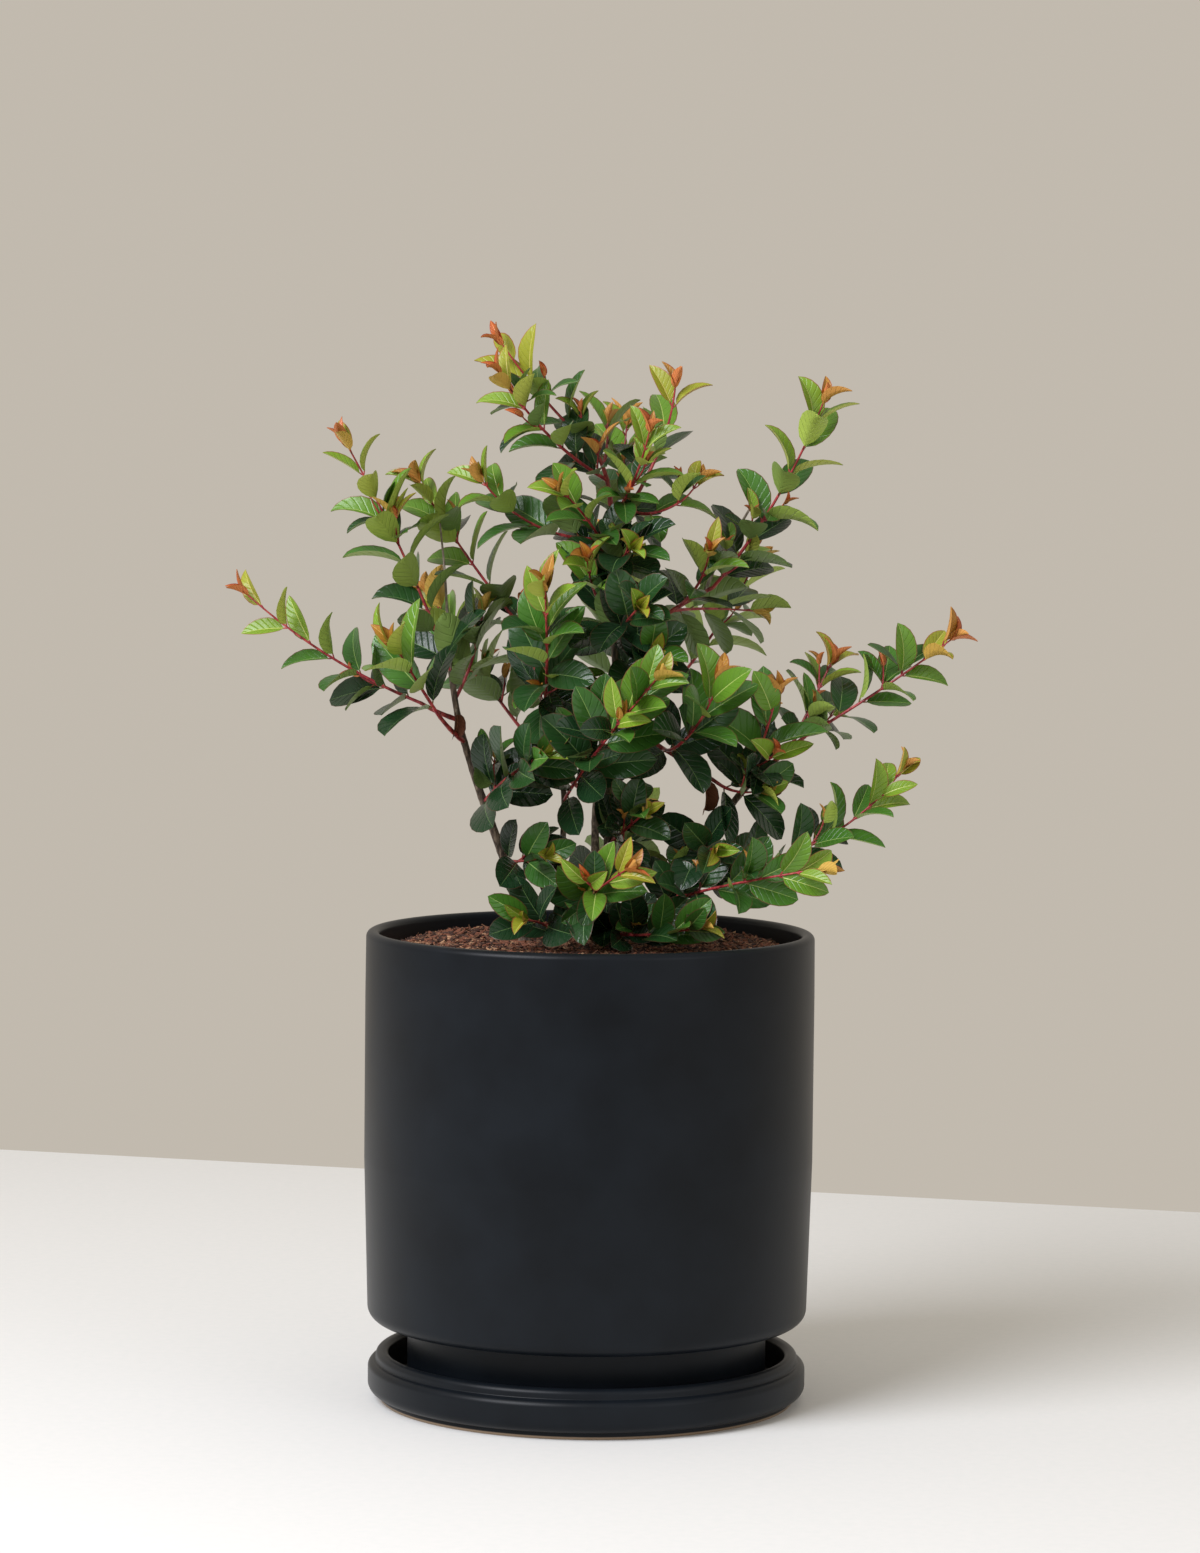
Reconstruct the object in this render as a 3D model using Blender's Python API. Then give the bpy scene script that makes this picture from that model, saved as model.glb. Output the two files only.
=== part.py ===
# Potted crape myrtle: a young shrub in a straight-sided glazed pot on its saucer.
# Sizes are millimetres, turned to metres as each mesh is made.
# X is to the viewer's right, Y is away from the viewer and Z is up.
# The origin is the centre of the saucer's flat underside.
import math

import bmesh
import bpy
import numpy as np

MM = 0.001
GAP = 0.3  # left between pieces that touch

# Saucer
SAUCER_SEGMENTS = 36
SAUCER_FOOT_RADIUS = 119.5
SAUCER_FOOT_HEIGHT = 4.0
SAUCER_RADIUS = 126.3
SAUCER_SHOULDER = 22.6  # height of the ledge that the rim bead stands on
SAUCER_HEIGHT = 28.3
BEAD_OUTER_RADIUS = 121.8
BEAD_INNER_RADIUS = 114.6
WELL_RADIUS = 112.5
SAUCER_FLOOR = 8.0

# Pot
POT_SEGMENTS = 40
POT_FOOT_RADIUS = 103.5
POT_UNDERSIDE = 46.5  # height where the body steps in to the foot
POT_BASE_RADIUS = 126.6
POT_BELLY_RADIUS = 129.3
BELLY_LOW = 140  # the wall stands straight between these two heights
BELLY_HIGH = 235
POT_RIM_RADIUS = 128.9
POT_RIM_HEIGHT = 271.0
WALL = 7.5
FLOOR = 8.0
LOW_WALL_INSET = 1.7  # the wall is this much thicker at the bottom

# Potting mix
SOIL_LEVEL = 262.0
SOIL_FLAT_RADIUS = 48.0
MOUND_RADIUS = 84.0
MOUND_WIDTH = 30.0
MOUND_HEIGHT = 3.5
GUTTER_DEPTH = 6.0  # the mix falls away this much at the wall
GUTTER_WIDTH = 17.0
SOIL_RINGS = (104, 84, 64, 47, 24, 0)  # radii of the rings of points on its top

# Limbs and foliage
LIMB_SIDES = 8
LIMB_STEP = 11.0  # length of one stretch of a limb
FOLIAGE_SIDES = 8
FOLIAGE_STEP = 19.0  # length between two rings of a mass
SAMPLE_STEP = 1.5  # spacing of the points that clearances are measured from
FLARE_RINGS = (4.0, 9.0)  # heights of the two rings that shape a stem's widened foot
FLARE_LENGTH = 5.0  # the widening fades over this length
BARK_UNEVENNESS = 0.05
REACH_STEPS = 14  # steps in which a mass is let out to its reach
NEIGHBOUR_REACH = 2.2  # masses nearer than this many times both reaches are kept apart
THINNEST = 0.9  # the least radius of a mass
CLEARANCE = 0.8  # between a mass and any limb or other mass
RIM_CLEARANCE = 2.0

# Stems rise from the mix: a few points that each one passes, and its radius at the foot and the top.
STEMS = {
    "main_stem": {
        "path": [(7, 0), (11, 2, 332), (10, 3, 352), (14, 4, 404), (11, 3, 469), (9, 1, 512)],
        "thick": (4.1, 2.2),
        "flare": 1.8,
    },
    "left_stem": {
        "path": [(-37, 20), (-42, 20, 281), (-49, 19, 306), (-64, 12, 348), (-76, 5, 387), (-82, 5, 420)],
        "thick": (3.1, 1.6),
        "flare": 1.0,
    },
    "slim_stem": {
        "path": [(-20, -5), (-16, 0, 344), (-22, 5, 374), (-32, 20, 406)],
        "thick": (2.0, 1.3),
        "flare": 0.8,
    },
    "right_stem": {
        "path": [(25, 15), (40, 11, 285), (55, 5, 307), (66, 0, 322), (82, 0, 347), (99, 2, 365)],
        "thick": (3.0, 1.7),
        "flare": 1.0,
    },
    "back_stem": {
        "path": [(8, 34), (2, 58, 320), (6, 84, 380), (12, 95, 408)],
        "thick": (2.8, 1.7),
        "flare": 1.0,
    },
}

# Boughs grow from a stem at a share of its length. Heading is counter-clockwise from +X seen from
# above, rise is above level, and turn and bend are what they gain along the bough, in degrees.
BOUGHS = {
    "far_left_bough": ("left_stem", 0.83, {"length": 25, "heading": -152, "turn": -20, "rise": 16, "bend": 15}),
    "left_front_bough": ("left_stem", 0.75, {"length": 33, "heading": -116, "turn": -10, "rise": 21, "bend": 20}),
    "inner_left_bough": ("slim_stem", 1.0, {"length": 35, "heading": 125, "turn": 10, "rise": 77, "bend": -5}),
    "top_left_bough": ("main_stem", 1.0, {"length": 36, "heading": -155, "turn": -20, "rise": 90, "bend": -30}),
    "top_right_bough": ("main_stem", 0.96, {"length": 29, "heading": -18, "turn": 40, "rise": 49, "bend": 10}),
    "right_top_bough": ("main_stem", 0.68, {"length": 68, "heading": 19, "turn": -20, "rise": 42, "bend": -15}),
    "mid_right_bough": ("main_stem", 0.53, {"length": 69, "heading": -26, "turn": 20, "rise": -27, "bend": -5}),
    "far_right_bough": ("right_stem", 1.0, {"length": 30, "heading": -11, "turn": 15, "rise": 40, "bend": 0}),
    "back_left_bough": ("back_stem", 0.55, {"length": 62, "heading": 152, "turn": 15, "rise": 30, "bend": 20}),
    "back_right_bough": ("back_stem", 0.72, {"length": 58, "heading": 28, "turn": -10, "rise": 34, "bend": 15}),
    "high_back_bough": ("main_stem", 0.74, {"length": 52, "heading": 78, "turn": 15, "rise": 44, "bend": 20}),
}
BOUGH_THICK = (1.5, 1.1)

# Each mass of foliage clothes one leafy shoot, told as a bough is. Reach is how far its leaves stand
# out from the shoot.
FOLIAGE = {
    "far_left_foliage": (
        "far_left_bough", 1.0, {"length": 138, "heading": -169, "turn": 8, "rise": 22, "bend": 22}, 18),
    "left_front_foliage": (
        "left_front_bough", 1.0, {"length": 76, "heading": -125, "turn": -5, "rise": 44, "bend": 5}, 27),
    "upper_left_foliage": (
        "left_stem", 1.0, {"length": 163, "heading": 178, "turn": 20, "rise": 70, "bend": -12}, 23),
    "left_inner_foliage": (
        "left_stem", 0.90, {"length": 72, "heading": 30, "turn": 20, "rise": 58, "bend": 30}, 22),
    "inner_left_foliage": (
        "inner_left_bough", 1.0, {"length": 128, "heading": 173, "turn": 10, "rise": 49, "bend": 12}, 22),
    "middle_front_foliage": (
        "slim_stem", 0.93, {"length": 146, "heading": -85, "turn": -10, "rise": 16, "bend": 50}, 28),
    "middle_shoulder_foliage": (
        "main_stem", 0.75, {"length": 83, "heading": -119, "turn": 30, "rise": 25, "bend": 25}, 20),
    "high_left_foliage": (
        "main_stem", 0.94, {"length": 107, "heading": -160, "turn": -10, "rise": -8, "bend": 75}, 20),
    "top_left_foliage": (
        "top_left_bough", 1.0, {"length": 101, "heading": -170, "turn": 15, "rise": 41, "bend": 15}, 21),
    "top_left_sister_foliage": (
        "top_left_bough", 0.50, {"length": 114, "heading": -143, "turn": -5, "rise": 24, "bend": 35}, 17),
    "top_middle_foliage": (
        "top_left_bough", 0.72, {"length": 56, "heading": 77, "turn": 25, "rise": 37, "bend": 25}, 20),
    "top_right_foliage": (
        "top_right_bough", 1.0, {"length": 80, "heading": 30, "turn": -100, "rise": 59, "bend": 30}, 21),
    "top_middle_front_foliage": (
        "main_stem", 0.985, {"length": 90, "heading": -68, "turn": 5, "rise": 23, "bend": 50}, 17),
    "right_shoulder_foliage": (
        "top_right_bough", 0.55, {"length": 72, "heading": -75, "turn": 145, "rise": -25, "bend": 107}, 19),
    "upper_front_foliage": (
        "main_stem", 0.88, {"length": 93, "heading": -105, "turn": -30, "rise": 36, "bend": -5}, 16),
    "upper_core_foliage": (
        "main_stem", 0.85, {"length": 76, "heading": -90, "turn": 30, "rise": 18, "bend": 0}, 21),
    "front_core_foliage": (
        "main_stem", 0.71, {"length": 101, "heading": -87, "turn": 15, "rise": 13, "bend": 5}, 21),
    "middle_core_foliage": (
        "main_stem", 0.62, {"length": 78, "heading": -73, "turn": 10, "rise": 14, "bend": 10}, 24),
    "right_top_foliage": (
        "right_top_bough", 1.0, {"length": 146, "heading": -24, "turn": 6, "rise": 48, "bend": 24}, 22),
    "right_light_foliage": (
        "right_top_bough", 0.68, {"length": 68, "heading": -54, "turn": -35, "rise": 28, "bend": 25}, 18),
    "right_big_leaf_foliage": (
        "mid_right_bough", 0.48, {"length": 106, "heading": -81, "turn": 55, "rise": -6, "bend": 98}, 26),
    "right_back_high_foliage": (
        "right_top_bough", 0.60, {"length": 89, "heading": 59, "turn": -35, "rise": 3, "bend": -10}, 18),
    "middle_red_foliage": (
        "slim_stem", 0.57, {"length": 150, "heading": -75, "turn": 35, "rise": 29, "bend": 15}, 22),
    "low_left_middle_foliage": (
        "left_stem", 0.53, {"length": 93, "heading": -65, "turn": 15, "rise": 31, "bend": -15}, 23),
    "low_left_foliage": (
        "left_stem", 0.32, {"length": 70, "heading": -72, "turn": 25, "rise": -1, "bend": 20}, 19),
    "low_middle_foliage": (
        "main_stem", 0.25, {"length": 64, "heading": -68, "turn": 15, "rise": 22, "bend": 10}, 18),
    "right_middle_foliage": (
        "mid_right_bough", 1.0, {"length": 52, "heading": -44, "turn": 30, "rise": -28, "bend": 72}, 25),
    "right_front_foliage": (
        "right_stem", 0.87, {"length": 93, "heading": -70, "turn": 5, "rise": 42, "bend": 25}, 24),
    "right_high_foliage": (
        "far_right_bough", 0.62, {"length": 74, "heading": 32, "turn": -15, "rise": 60, "bend": 5}, 20),
    "far_right_foliage": (
        "far_right_bough", 1.0, {"length": 118, "heading": -5, "turn": -8, "rise": 31, "bend": 8}, 20),
    "low_right_foliage": (
        "right_stem", 0.47, {"length": 160, "heading": -32, "turn": 48, "rise": -5, "bend": 66}, 20),
    "lowest_right_foliage": (
        "right_stem", 0.22, {"length": 156, "heading": -78, "turn": 72, "rise": 16, "bend": -6}, 20),
    "low_right_front_foliage": (
        "right_stem", 0.57, {"length": 65, "heading": -97, "turn": 40, "rise": 5, "bend": -5}, 22),
    "low_front_foliage": (
        "main_stem", 0.10, {"length": 114, "heading": -119, "turn": 90, "rise": 8, "bend": 25}, 17),
    "soil_left_foliage": (
        "slim_stem", 0.08, {"length": 62, "heading": -107, "turn": -20, "rise": 22, "bend": -20}, 17),
    "soil_right_foliage": (
        "main_stem", 0.05, {"length": 101, "heading": -64, "turn": 35, "rise": -2, "bend": 20}, 16),
    "back_left_foliage": (
        "back_left_bough", 1.0, {"length": 118, "heading": 167, "turn": 12, "rise": 50, "bend": 12}, 26),
    "back_right_foliage": (
        "back_right_bough", 1.0, {"length": 112, "heading": 18, "turn": -12, "rise": 48, "bend": 18}, 26),
    "back_foliage": (
        "back_stem", 1.0, {"length": 120, "heading": 88, "turn": 15, "rise": 52, "bend": 18}, 28),
    "high_back_foliage": (
        "high_back_bough", 1.0, {"length": 100, "heading": 92, "turn": -20, "rise": 62, "bend": 12}, 26),
    "low_back_foliage": (
        "back_stem", 0.22, {"length": 92, "heading": 62, "turn": 20, "rise": 24, "bend": 20}, 24),
}
FOLIAGE_FOOT = 1.6  # radius of a mass's flat foot on its limb


def material(name, colour, roughness):
    """A plain finish in linear colour."""
    made = bpy.data.materials.new(name)
    made.use_nodes = True
    shader = made.node_tree.nodes["Principled BSDF"]
    shader.inputs["Base Color"].default_value = (*colour, 1.0)
    shader.inputs["Roughness"].default_value = roughness
    shader.inputs["Metallic"].default_value = 0.0
    return made


def finish(name, mesh_data, look, smooth_angle):
    """Turns bmesh data in millimetres into one named object in metres."""
    bmesh.ops.triangulate(mesh_data, faces=mesh_data.faces[:])
    bmesh.ops.recalc_face_normals(mesh_data, faces=mesh_data.faces[:])
    bmesh.ops.scale(mesh_data, vec=(MM, MM, MM), verts=mesh_data.verts[:])
    mesh = bpy.data.meshes.new(name)
    mesh_data.to_mesh(mesh)
    mesh_data.free()
    mesh.shade_smooth()
    mesh.set_sharp_from_angle(angle=math.radians(smooth_angle))
    mesh.materials.append(look)
    made = bpy.data.objects.new(name, mesh)
    bpy.context.scene.collection.objects.link(made)
    return made


def rounded(corners):
    """The points of a turned profile from its corners (radius, height, rounding, steps)."""
    points = []
    for i, (radius, height, rounding, steps) in enumerate(corners):
        here = np.array((radius, height), float)
        if not rounding:
            points.append(here)
            continue
        before = np.array(corners[i - 1][:2], float) - here
        after = np.array(corners[i + 1][:2], float) - here
        before /= np.linalg.norm(before)
        after /= np.linalg.norm(after)
        half = math.acos(np.clip(before @ after, -1, 1)) / 2
        along = rounding / math.tan(half)
        centre = here + (before + after) / np.linalg.norm(before + after) * rounding / math.sin(half)
        first = here + before * along - centre
        last = here + after * along - centre
        sweep = math.atan2(first[0] * last[1] - first[1] * last[0], first @ last)
        for k in range(steps + 1):
            c, s = math.cos(sweep * k / steps), math.sin(sweep * k / steps)
            points.append(centre + (c * first[0] - s * first[1], s * first[0] + c * first[1]))
    return points


def turned(profile, segments, top=None):
    """A solid turned about Z from a profile that starts and ends on the axis. top may lift its points."""
    made = bmesh.new()
    rings = []
    for radius, height in profile:
        if radius < 1e-6:
            rings.append([made.verts.new((0, 0, height))])
            continue
        ring = []
        for k in range(segments):
            angle = 2 * math.pi * k / segments
            x, y = radius * math.cos(angle), radius * math.sin(angle)
            ring.append(made.verts.new((x, y, top(x, y, height) if top else height)))
        rings.append(ring)
    for low, high in zip(rings, rings[1:]):
        for k in range(segments):
            n = (k + 1) % segments
            corners = [low[k % len(low)], low[n % len(low)], high[n % len(high)], high[k % len(high)]]
            made.faces.new(list(dict.fromkeys(corners)))
    return made


def saucer_profile():
    """Flat foot, round-bottomed body, shoulder, rim bead and well."""
    return rounded([
        (0, 0, 0, 0),
        (SAUCER_FOOT_RADIUS, 0, 0, 0),
        (SAUCER_FOOT_RADIUS, SAUCER_FOOT_HEIGHT, 0, 0),
        (SAUCER_RADIUS, SAUCER_FOOT_HEIGHT, 6.0, 3),
        (SAUCER_RADIUS, SAUCER_SHOULDER, 4.2, 3),
        (BEAD_OUTER_RADIUS, SAUCER_SHOULDER, 0, 0),
        (BEAD_OUTER_RADIUS, SAUCER_HEIGHT, 3.4, 2),
        (BEAD_INNER_RADIUS, SAUCER_HEIGHT, 3.4, 2),
        (WELL_RADIUS, SAUCER_FLOOR, 4.0, 2),
        (0, SAUCER_FLOOR, 0, 0),
    ])


def pot_profile():
    """Foot that stands in the saucer, stepped-out body, round lip and the hollow that follows them."""
    base = SAUCER_FLOOR + GAP
    inner_top = POT_RIM_RADIUS - WALL
    return rounded([
        (0, base, 0, 0),
        (POT_FOOT_RADIUS, base, 1.5, 1),
        (POT_FOOT_RADIUS, POT_UNDERSIDE, 3.0, 1),
        (POT_BASE_RADIUS, POT_UNDERSIDE, 8.0, 3),
        (POT_BELLY_RADIUS, BELLY_LOW, 0, 0),
        (POT_BELLY_RADIUS, BELLY_HIGH, 0, 0),
        (POT_RIM_RADIUS, POT_RIM_HEIGHT, 3.7, 3),
        (inner_top, POT_RIM_HEIGHT, 3.4, 2),
        (inner_top - LOW_WALL_INSET, POT_UNDERSIDE + FLOOR, 6.0, 2),
        (POT_FOOT_RADIUS - FLOOR, POT_UNDERSIDE + FLOOR, 4.0, 1),
        (POT_FOOT_RADIUS - FLOOR, base + FLOOR, 4.0, 1),
        (0, base + FLOOR, 0, 0),
    ])


def soil_height(x, y):
    """The top of the mix: level round the stems, mounded left, right and behind, low at the wall."""
    radius = math.hypot(x, y)
    angle = math.atan2(y, x)
    share = (radius - MOUND_RADIUS) / MOUND_WIDTH
    mound = max(0.0, 1 - share * share) * (0.55 + 0.35 * math.sin(angle) + 0.2 * math.cos(2 * angle))
    edge = POT_RIM_RADIUS - WALL - GUTTER_WIDTH
    gutter = max(0.0, (radius - edge) / GUTTER_WIDTH)
    if radius < SOIL_FLAT_RADIUS:
        return SOIL_LEVEL
    return SOIL_LEVEL + MOUND_HEIGHT * mound - GUTTER_DEPTH * gutter


def soil_profile():
    """The mix fills the pot's hollow with a clearance all round."""
    outer = POT_RIM_RADIUS - WALL - GAP
    low = POT_FOOT_RADIUS - FLOOR - GAP
    step = POT_UNDERSIDE + FLOOR + GAP
    floor = SAUCER_FLOOR + FLOOR + 2 * GAP
    sides = rounded([
        (0, floor, 0, 0),
        (low, floor, 5.0, 1),
        (low, step, 0, 0),
        (outer - LOW_WALL_INSET, step, 7.0, 1),
        (outer, SOIL_LEVEL, 0, 0),
    ])
    tops = [(radius, SOIL_LEVEL) for radius in SOIL_RINGS]
    return sides + [np.array(point, float) for point in tops]


def soil_top(x, y, height):
    """Lifts the points of the top to the mix's own surface."""
    return soil_height(x, y) if height > SOIL_LEVEL - 1 else height


def spaced(points, step):
    """Points about a step apart along a path, both ends kept."""
    points = np.asarray(points, float)
    lengths = np.r_[0, np.cumsum(np.linalg.norm(np.diff(points, axis=0), axis=1))]
    count = max(2, int(round(lengths[-1] / step)))
    marks = np.linspace(0, lengths[-1], count + 1)
    return np.stack([np.interp(marks, lengths, points[:, k]) for k in range(3)], axis=-1)


def smooth_path(points, pieces=24):
    """A smooth curve through a few points."""
    points = [np.array(point, float) for point in points]
    ends = [2 * points[0] - points[1]] + points + [2 * points[-1] - points[-2]]
    path = []
    for i in range(len(points) - 1):
        a, b, c, d = ends[i:i + 4]
        for k in range(pieces):
            u = k / pieces
            path.append(0.5 * (2 * b + (c - a) * u + (2 * a - 5 * b + 4 * c - d) * u ** 2
                               + (3 * b - a - 3 * c + d) * u ** 3))
    return np.array(path + [points[-1]])


def grown_path(start, length, heading, turn, rise, bend, pieces=32):
    """A path that leaves start along heading and rise, and turns and bends evenly."""
    share = (np.arange(pieces) + 0.5) / pieces
    flat = np.radians(heading + turn * share)
    lift = np.radians(rise + bend * share)
    steps = np.stack([np.cos(lift) * np.cos(flat), np.cos(lift) * np.sin(flat), np.sin(lift)], axis=-1)
    return np.vstack([start, start + np.cumsum(steps * length / pieces, axis=0)])


def directions(path):
    """Unit directions along a path, one for each point."""
    steps = np.gradient(path, axis=0)
    return steps / np.linalg.norm(steps, axis=1)[:, None]


def seated(limb, share, sizes, foot):
    """The path of a limb or shoot from the surface of the limb that carries it, and its foot's normal."""
    path, radii = limb["path"], limb["radii"]
    index = int(round(share * (len(path) - 1)))
    along = limb["ways"][index]
    whole = grown_path(path[index], **sizes)
    leaves = whole[1] - whole[0]
    leaves /= np.linalg.norm(leaves)
    if share == 1.0:
        start = path[-1] + along * GAP
        return np.vstack([start, whole[1:] + along * GAP]), along
    cosine = float(np.clip(abs(leaves @ along), 0, 0.93))
    sine = math.sqrt(1 - cosine * cosine)
    offset = (radii[index] + GAP + foot * cosine) / sine
    lengths = np.r_[0, np.cumsum(np.linalg.norm(np.diff(whole, axis=0), axis=1))]
    marks = np.r_[offset, lengths[lengths > offset + 1]]
    kept = np.stack([np.interp(marks, lengths, whole[:, k]) for k in range(3)], axis=-1)
    return kept, leaves


def frames(path, first):
    """A side and an upper direction square to each point of a path, without twist."""
    ways = directions(path)
    ways[0] = first
    side = np.cross(ways[0], (0.0, 0.0, 1.0))
    if np.linalg.norm(side) < 0.2:
        side = np.cross(ways[0], (0.0, 1.0, 0.0))
    pairs = []
    for way in ways:
        side = side - way * (side @ way)
        side /= np.linalg.norm(side)
        pairs.append((side, np.cross(way, side)))
    return pairs


def lofted(path, first, radius_at, sides, pointed):
    """A closed body round a path. radius_at(ring, side) gives each point's distance from it."""
    made = bmesh.new()
    rings = []
    pairs = frames(path, first)
    last = len(path) - 1
    for i, (point, (side, upper)) in enumerate(zip(path, pairs)):
        if pointed and i == last:
            rings.append([made.verts.new(point)])
            continue
        ring = []
        for k in range(sides):
            angle = 2 * math.pi * k / sides
            out = side * math.cos(angle) + upper * math.sin(angle)
            ring.append(made.verts.new(point + out * radius_at(i, k)))
        rings.append(ring)
    for low, high in zip(rings, rings[1:]):
        for k in range(sides):
            n = (k + 1) % sides
            corners = [low[k], low[n], high[n % len(high)], high[k % len(high)]]
            made.faces.new(list(dict.fromkeys(corners)))
    made.faces.new(rings[0])
    if not pointed:
        made.faces.new(rings[-1])
    return made


def limb_of(path, first, thick, flare=0.0):
    """A limb's own path, directions and radii. flare widens its foot."""
    path = spaced(path, LIMB_STEP)
    if flare:
        foot = path[0].copy()
        low = foot + (0, 0, FLARE_RINGS[0])
        high = foot + (0, 0, FLARE_RINGS[1]) + (path[1] - foot) * (0.2, 0.2, 0)
        path = np.vstack([foot, low, high, path[2:]])
    lengths = np.r_[0, np.cumsum(np.linalg.norm(np.diff(path, axis=0), axis=1))]
    share = lengths / lengths[-1]
    radii = thick[0] + (thick[1] - thick[0]) * share + flare * np.exp(-lengths / FLARE_LENGTH)
    fine = spaced(path, SAMPLE_STEP)
    fine_lengths = np.linspace(0, lengths[-1], len(fine))
    return {
        "rings": path,
        "ring_radii": radii,
        "first": first,
        "path": fine,
        "ways": directions(fine),
        "radii": np.interp(fine_lengths, lengths, radii),
    }


def build_limb(name, limb, look):
    """One tapering limb with a slightly uneven bark."""
    radii = limb["ring_radii"]

    def radius_at(ring, side):
        ridge = BARK_UNEVENNESS * math.sin(2.4 * side + 0.9 * ring)
        return radii[ring] * (1 - BARK_UNEVENNESS + ridge)

    return finish(name, lofted(limb["rings"], limb["first"], radius_at, LIMB_SIDES, False), look, 50)


def swell(share):
    """How much of its reach a mass has along its shoot, from foot to tip."""
    return min(1.0, 0.30 + 3.2 * share) * (1.0 - 0.55 * share ** 2.2)


def floor_height(points):
    """The lowest that foliage may hang: just over the mix, or over the rim."""
    radius = np.hypot(points[..., 0], points[..., 1])
    inside = radius < POT_RIM_RADIUS - WALL - RIM_CLEARANCE
    return np.where(inside, SOIL_LEVEL + MOUND_HEIGHT + 1.0, POT_RIM_HEIGHT + RIM_CLEARANCE)


def free_radius(points_at, wanted, own, others, limb_points, limb_radii):
    """The largest share of the wanted distance at which no limb or other mass is near.

    points_at(share) gives all points at that share. own holds the shoot's points. others holds the
    points of the other shoots with their reach relative to this one.
    """
    free = np.zeros(wanted.shape)
    open_still = np.ones(wanted.shape, bool)
    for step in range(1, REACH_STEPS + 1):
        share = step / REACH_STEPS
        points = points_at(share).reshape(-1, 3)
        to_own = nearest(points, own)
        ok = points[:, 2] > floor_height(points)
        ok &= nearest_surface(points, limb_points, limb_radii) > CLEARANCE
        for cloud, scale in others:
            ok &= nearest(points, cloud) * scale > to_own + CLEARANCE
        open_still &= ok.reshape(wanted.shape)
        free = np.where(open_still, share, free)
    return free * wanted


def nearest(points, cloud):
    """The distance from each point to the nearest of a cloud."""
    squares = (points ** 2).sum(1)[:, None] + (cloud ** 2).sum(1)[None] - 2 * points @ cloud.T
    return np.sqrt(np.maximum(squares.min(1), 0))


def nearest_surface(points, centres, radii):
    """The distance from each point to the nearest limb's surface."""
    squares = (points ** 2).sum(1)[:, None] + (centres ** 2).sum(1)[None] - 2 * points @ centres.T
    return (np.sqrt(np.maximum(squares, 0)) - radii[None]).min(1)


def build_foliage(name, order, shoots, limbs, look):
    """One mass round its shoot, kept clear of every limb and of the masses beside it."""
    shoot = shoots[name]
    path = spaced(shoot["path"], FOLIAGE_STEP)
    pairs = frames(path, shoot["first"])
    reach = shoot["reach"]
    fine = 2  # samples between two rings and between two sides
    ring_marks = np.linspace(0, len(path) - 1, (len(path) - 1) * fine + 1)
    side_count = FOLIAGE_SIDES * fine
    centres = np.stack([np.interp(ring_marks, range(len(path)), path[:, k]) for k in range(3)], axis=-1)
    outs = np.zeros((len(ring_marks), side_count, 3))
    wanted = np.zeros((len(ring_marks), side_count))
    for i, mark in enumerate(ring_marks):
        side, upper = pairs[int(round(mark))]
        share = mark / (len(path) - 1)
        for k in range(side_count):
            angle = 2 * math.pi * k / side_count
            outs[i, k] = side * math.cos(angle) + upper * math.sin(angle)
            lump = 0.11 * math.sin(3 * angle + 1.7 * order + 5 * share)
            lump += 0.09 * math.sin(2 * angle - 2.3 * order + 9 * share)
            wanted[i, k] = reach * swell(share) * (1 + lump)
    own = spaced(shoot["path"], 2 * SAMPLE_STEP)
    others = []
    for other, data in shoots.items():
        if other != name:
            cloud = spaced(data["path"], 2 * SAMPLE_STEP)
            if nearest(cloud, own).min() < NEIGHBOUR_REACH * (reach + data["reach"]):
                others.append((cloud, math.sqrt(reach / data["reach"])))
    limb_points = np.vstack([limb["path"] for limb in limbs.values()])
    limb_radii = np.concatenate([limb["radii"] for limb in limbs.values()])
    free = free_radius(
        lambda share: centres[:, None] + outs * (wanted * share)[..., None],
        wanted, own, others, limb_points, limb_radii,
    )

    def radius_at(ring, side):
        if ring == 0:
            return FOLIAGE_FOOT
        rows = range(max(1, ring * fine - 1), min(len(ring_marks) - 1, ring * fine + 1) + 1)
        columns = [(side * fine + d) % side_count for d in (-1, 0, 1)]
        return max(THINNEST, min(free[row, column] for row in rows for column in columns))

    return finish(name, lofted(path, shoot["first"], radius_at, FOLIAGE_SIDES, True), look, 60)


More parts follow.
